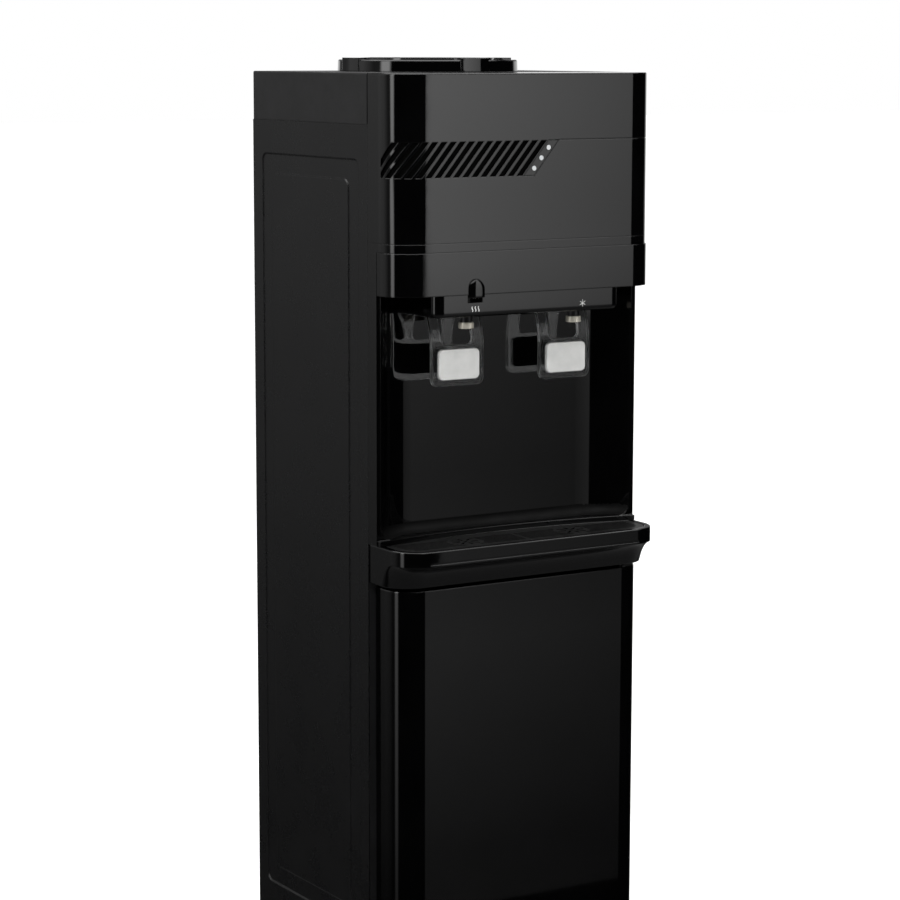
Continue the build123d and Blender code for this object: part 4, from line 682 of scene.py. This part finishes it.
def ribbon(shape, points, width, face, lift, closed=False):
    """Adds a thin flat stroke along points (x, z) on a face given as (y, outward sign)."""
    count = len(points)
    tops = []
    for i, point in enumerate(points):
        before = points[i - 1] if i or closed else point
        after = points[(i + 1) % count] if i + 1 < count or closed else point
        run = Vector((after[0] - before[0], after[1] - before[1])).normalized()
        aside = Vector((-run.y, run.x)) * width / 2
        pair = []
        for sign in (1, -1):
            x, z = point[0] + sign * aside.x, point[1] + sign * aside.y
            pair.append((x, z))
        tops.append(pair)
    layers = []
    for level in (face[0], face[0] + lift * face[1]):
        layers.append([[shape.verts.new((x * MM, level * MM, z * MM)) for x, z in pair] for pair in tops])
    low, high = layers
    for i in range(count if closed else count - 1):
        j = (i + 1) % count
        shape.faces.new((high[i][0], high[i][1], high[j][1], high[j][0]))
        shape.faces.new((low[i][0], low[j][0], low[j][1], low[i][1]))
        for side in (0, 1):
            shape.faces.new((low[i][side], high[i][side], high[j][side], low[j][side]))
    if not closed:
        for end in (0, count - 1):
            shape.faces.new((low[end][0], high[end][0], high[end][1], low[end][1]))


def mark(name, strokes, width, face_y, outward, lift, body, finish):
    """Small raised mark made of strokes on a face that looks along Y."""
    shape = bmesh.new()
    for points, closed in strokes:
        ribbon(shape, points, width, (face_y, outward), lift, closed)
    add_piece(name, smooth_mesh(shape, name), body, finish)


def wave(x, z, height, sway):
    """One rising wavy stroke."""
    return [(x + sway * math.sin(2 * math.pi * i / 12), z + height * i / 12) for i in range(13)]


def circle(x, z, radius, count=20):
    """Closed ring of points."""
    return [(x + radius * math.cos(2 * math.pi * i / count), z + radius * math.sin(2 * math.pi * i / count))
            for i in range(count)]


def star(x, z, radius):
    """Six-armed star as three crossing strokes."""
    strokes = []
    for i in range(3):
        angle = math.pi * i / 3 + math.pi / 2
        dx, dz = radius * math.cos(angle), radius * math.sin(angle)
        strokes.append(([(x - dx, z - dz), (x + dx, z + dz)], False))
    return strokes


def marks():
    """Plain signs for hot and cold, and a line and a ring beside each rear switch."""
    housing_face = -149.0
    tap_x = 63.7
    waves = [(wave(-tap_x + step, 732.6, 5.2, 0.55), False) for step in (-3.6, 0.0, 3.6)]
    mark("hot_mark", waves, 0.75, housing_face, -1, 0.06, "cabinet", "white_plastic")
    mark("cold_mark", star(tap_x, 735.2, 3.6), 0.45, housing_face, -1, 0.06, "cabinet",
         "white_plastic")
    strokes = []
    for x in (65.0, 85.0):
        strokes.append(([(x, 861.8), (x, 865.0)], False))
        strokes.append((circle(x, 836.6, 1.5), True))
    mark("switch_marks", strokes, 0.45, bezel_face, 1, 0.05, "cabinet", "white_plastic")


marks()


def loft(shape, sections):
    """Joins closed sections of equal count, in millimetres, and caps both ends."""
    rings = [[shape.verts.new(Vector(point) * MM) for point in section] for section in sections]
    count = len(rings[0])
    for low, high in zip(rings, rings[1:]):
        for i in range(count):
            j = (i + 1) % count
            shape.faces.new((low[i], low[j], high[j], high[i]))
    shape.faces.new(rings[0])
    shape.faces.new(rings[-1])


def bay_sweep_shade_skin():
    """Matt dark skin laid on the hollow sweep between the bay's wall, cheeks and ledge, in metres; it keeps
    the sweep dark instead of mirroring the bright studio, as painted shade.
    """
    upright, flat = 0.04, 0.985
    lowest, highest = 0.5056, 0.54
    foremost = -0.1115
    stand_off = 0.00012
    thickness = 0.0001
    weld = 0.00002
    panel = nodes["bay_panel"]
    shape = bmesh.new()
    shape.from_mesh(panel.data)
    shape.normal_update()
    spare = []
    for face in shape.faces:
        middle = face.calc_center_median()
        slanted = upright < face.normal.z < flat
        if not (slanted and lowest < middle.z < highest and middle.y > foremost):
            spare.append(face)
    bmesh.ops.delete(shape, geom=spare, context="FACES")
    bmesh.ops.remove_doubles(shape, verts=shape.verts[:], dist=weld)
    shape.normal_update()
    for vert in shape.verts:
        vert.co += vert.normal * stand_off
    bmesh.ops.solidify(shape, geom=shape.faces[:], thickness=-thickness)
    # Painted shade: this dull dark skin covers the sweep so that it stays dark instead of showing a bright
    # reflection band.
    add_piece("bay_sweep_shade_skin", smooth_mesh(shape, "bay_sweep_shade_skin"), "cabinet", "painted_shade_black")


bay_sweep_shade_skin()


def lock_key():
    """Child-lock key: a round-topped block with a convex face."""
    low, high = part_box("child_lock_button")
    middle = (low[0] + high[0]) / 2 / MM
    half = (high[0] - low[0]) / 2 / MM
    front, back = low[1] / MM, high[1] / MM
    bottom, top = low[2] / MM, high[2] / MM
    steps = 14
    flat_start, flat_end = -0.1, 0.5
    side_fall, side_reach = 4.2, 0.8
    top_fall = 1.2
    least_half = 0.8
    set_back = 0.01
    heights = [(bottom, 0.6), (bottom + 0.25, 0.15), (bottom + 0.8, 0.0)]
    heights += [(bottom + (top - half - bottom) * i / 4, 0.0) for i in range(1, 5)]
    heights += [(top - half + half * math.sin(math.pi / 2 * i / 12), 0.0) for i in range(1, 12)]
    heights.append((top, 0.0))
    sections = []
    for z, inset in heights:
        rise = max(0.0, z - (top - half)) / half
        wide = max(least_half, half * math.sqrt(max(0.0, 1 - rise * rise))) - inset
        face = []
        for i in range(steps + 1):
            t = -1 + 2 * i / steps
            away = max(0.0, t - flat_end, flat_start - t)
            depth = front + set_back + inset + side_fall * away ** 2 / side_reach + top_fall * rise ** 3
            face.append((middle + wide * t, depth, z))
        sections.append([(middle - wide, back, z)] + face + [(middle + wide, back, z)])
    shape = bmesh.new()
    loft(shape, sections)
    key = add_piece("lock_key", smooth_mesh(shape, "lock_key", 50.0), "child_lock", "gloss_black")
    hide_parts("child_lock_button")


lock_key()


def condenser_wires():
    """Fine upright wires on both faces of the condenser tube, between the heavier ones."""
    radius = 0.7
    tip = 0.0001
    bottom, top = 191, 821
    reach, pitch, heavy_pitch = 114, 6, 18
    clip_start, clip_end = 75, 93
    profile = [(tip, bottom), (radius, bottom), (radius, top), (tip, top)]
    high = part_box("condenser")[1]
    back = high[1] / MM - 1.5
    front = back - 4.8
    shape = bmesh.new()
    for face, outward in ((back, 1), (front, -1)):
        for x in range(-reach, reach + 1, pitch):
            heavy = outward > 0 and x % heavy_pitch == 0
            if heavy or clip_start < abs(x) < clip_end:
                continue
            place = Vector((x, face + outward * radius, 0))
            turned(shape, profile, 6, Matrix.Translation(place * MM))
    add_piece("condenser_wires", smooth_mesh(shape, "condenser_wires", 80.0), "cabinet", "black_steel")


condenser_wires()


def back_screws():
    """Fasteners of the back panel, the switch bezel and the cover."""
    rows = (240, 400, 560, 720, 900)
    backward = (0, 1, 0)
    places = [(side * 146.0, panel_face, z) for side in (-1, 1) for z in rows]
    places += [(x, panel_face, 905.0) for x in (-75, 0, 75)]
    screws("panel_screws", places, backward, "cabinet", "steel")
    places = [(x, bezel_face, 850.0) for x in (56.2, 93.8)]
    screws("bezel_screws", places, backward, "cabinet", "black_steel", 2.0, 0.9)


back_screws()
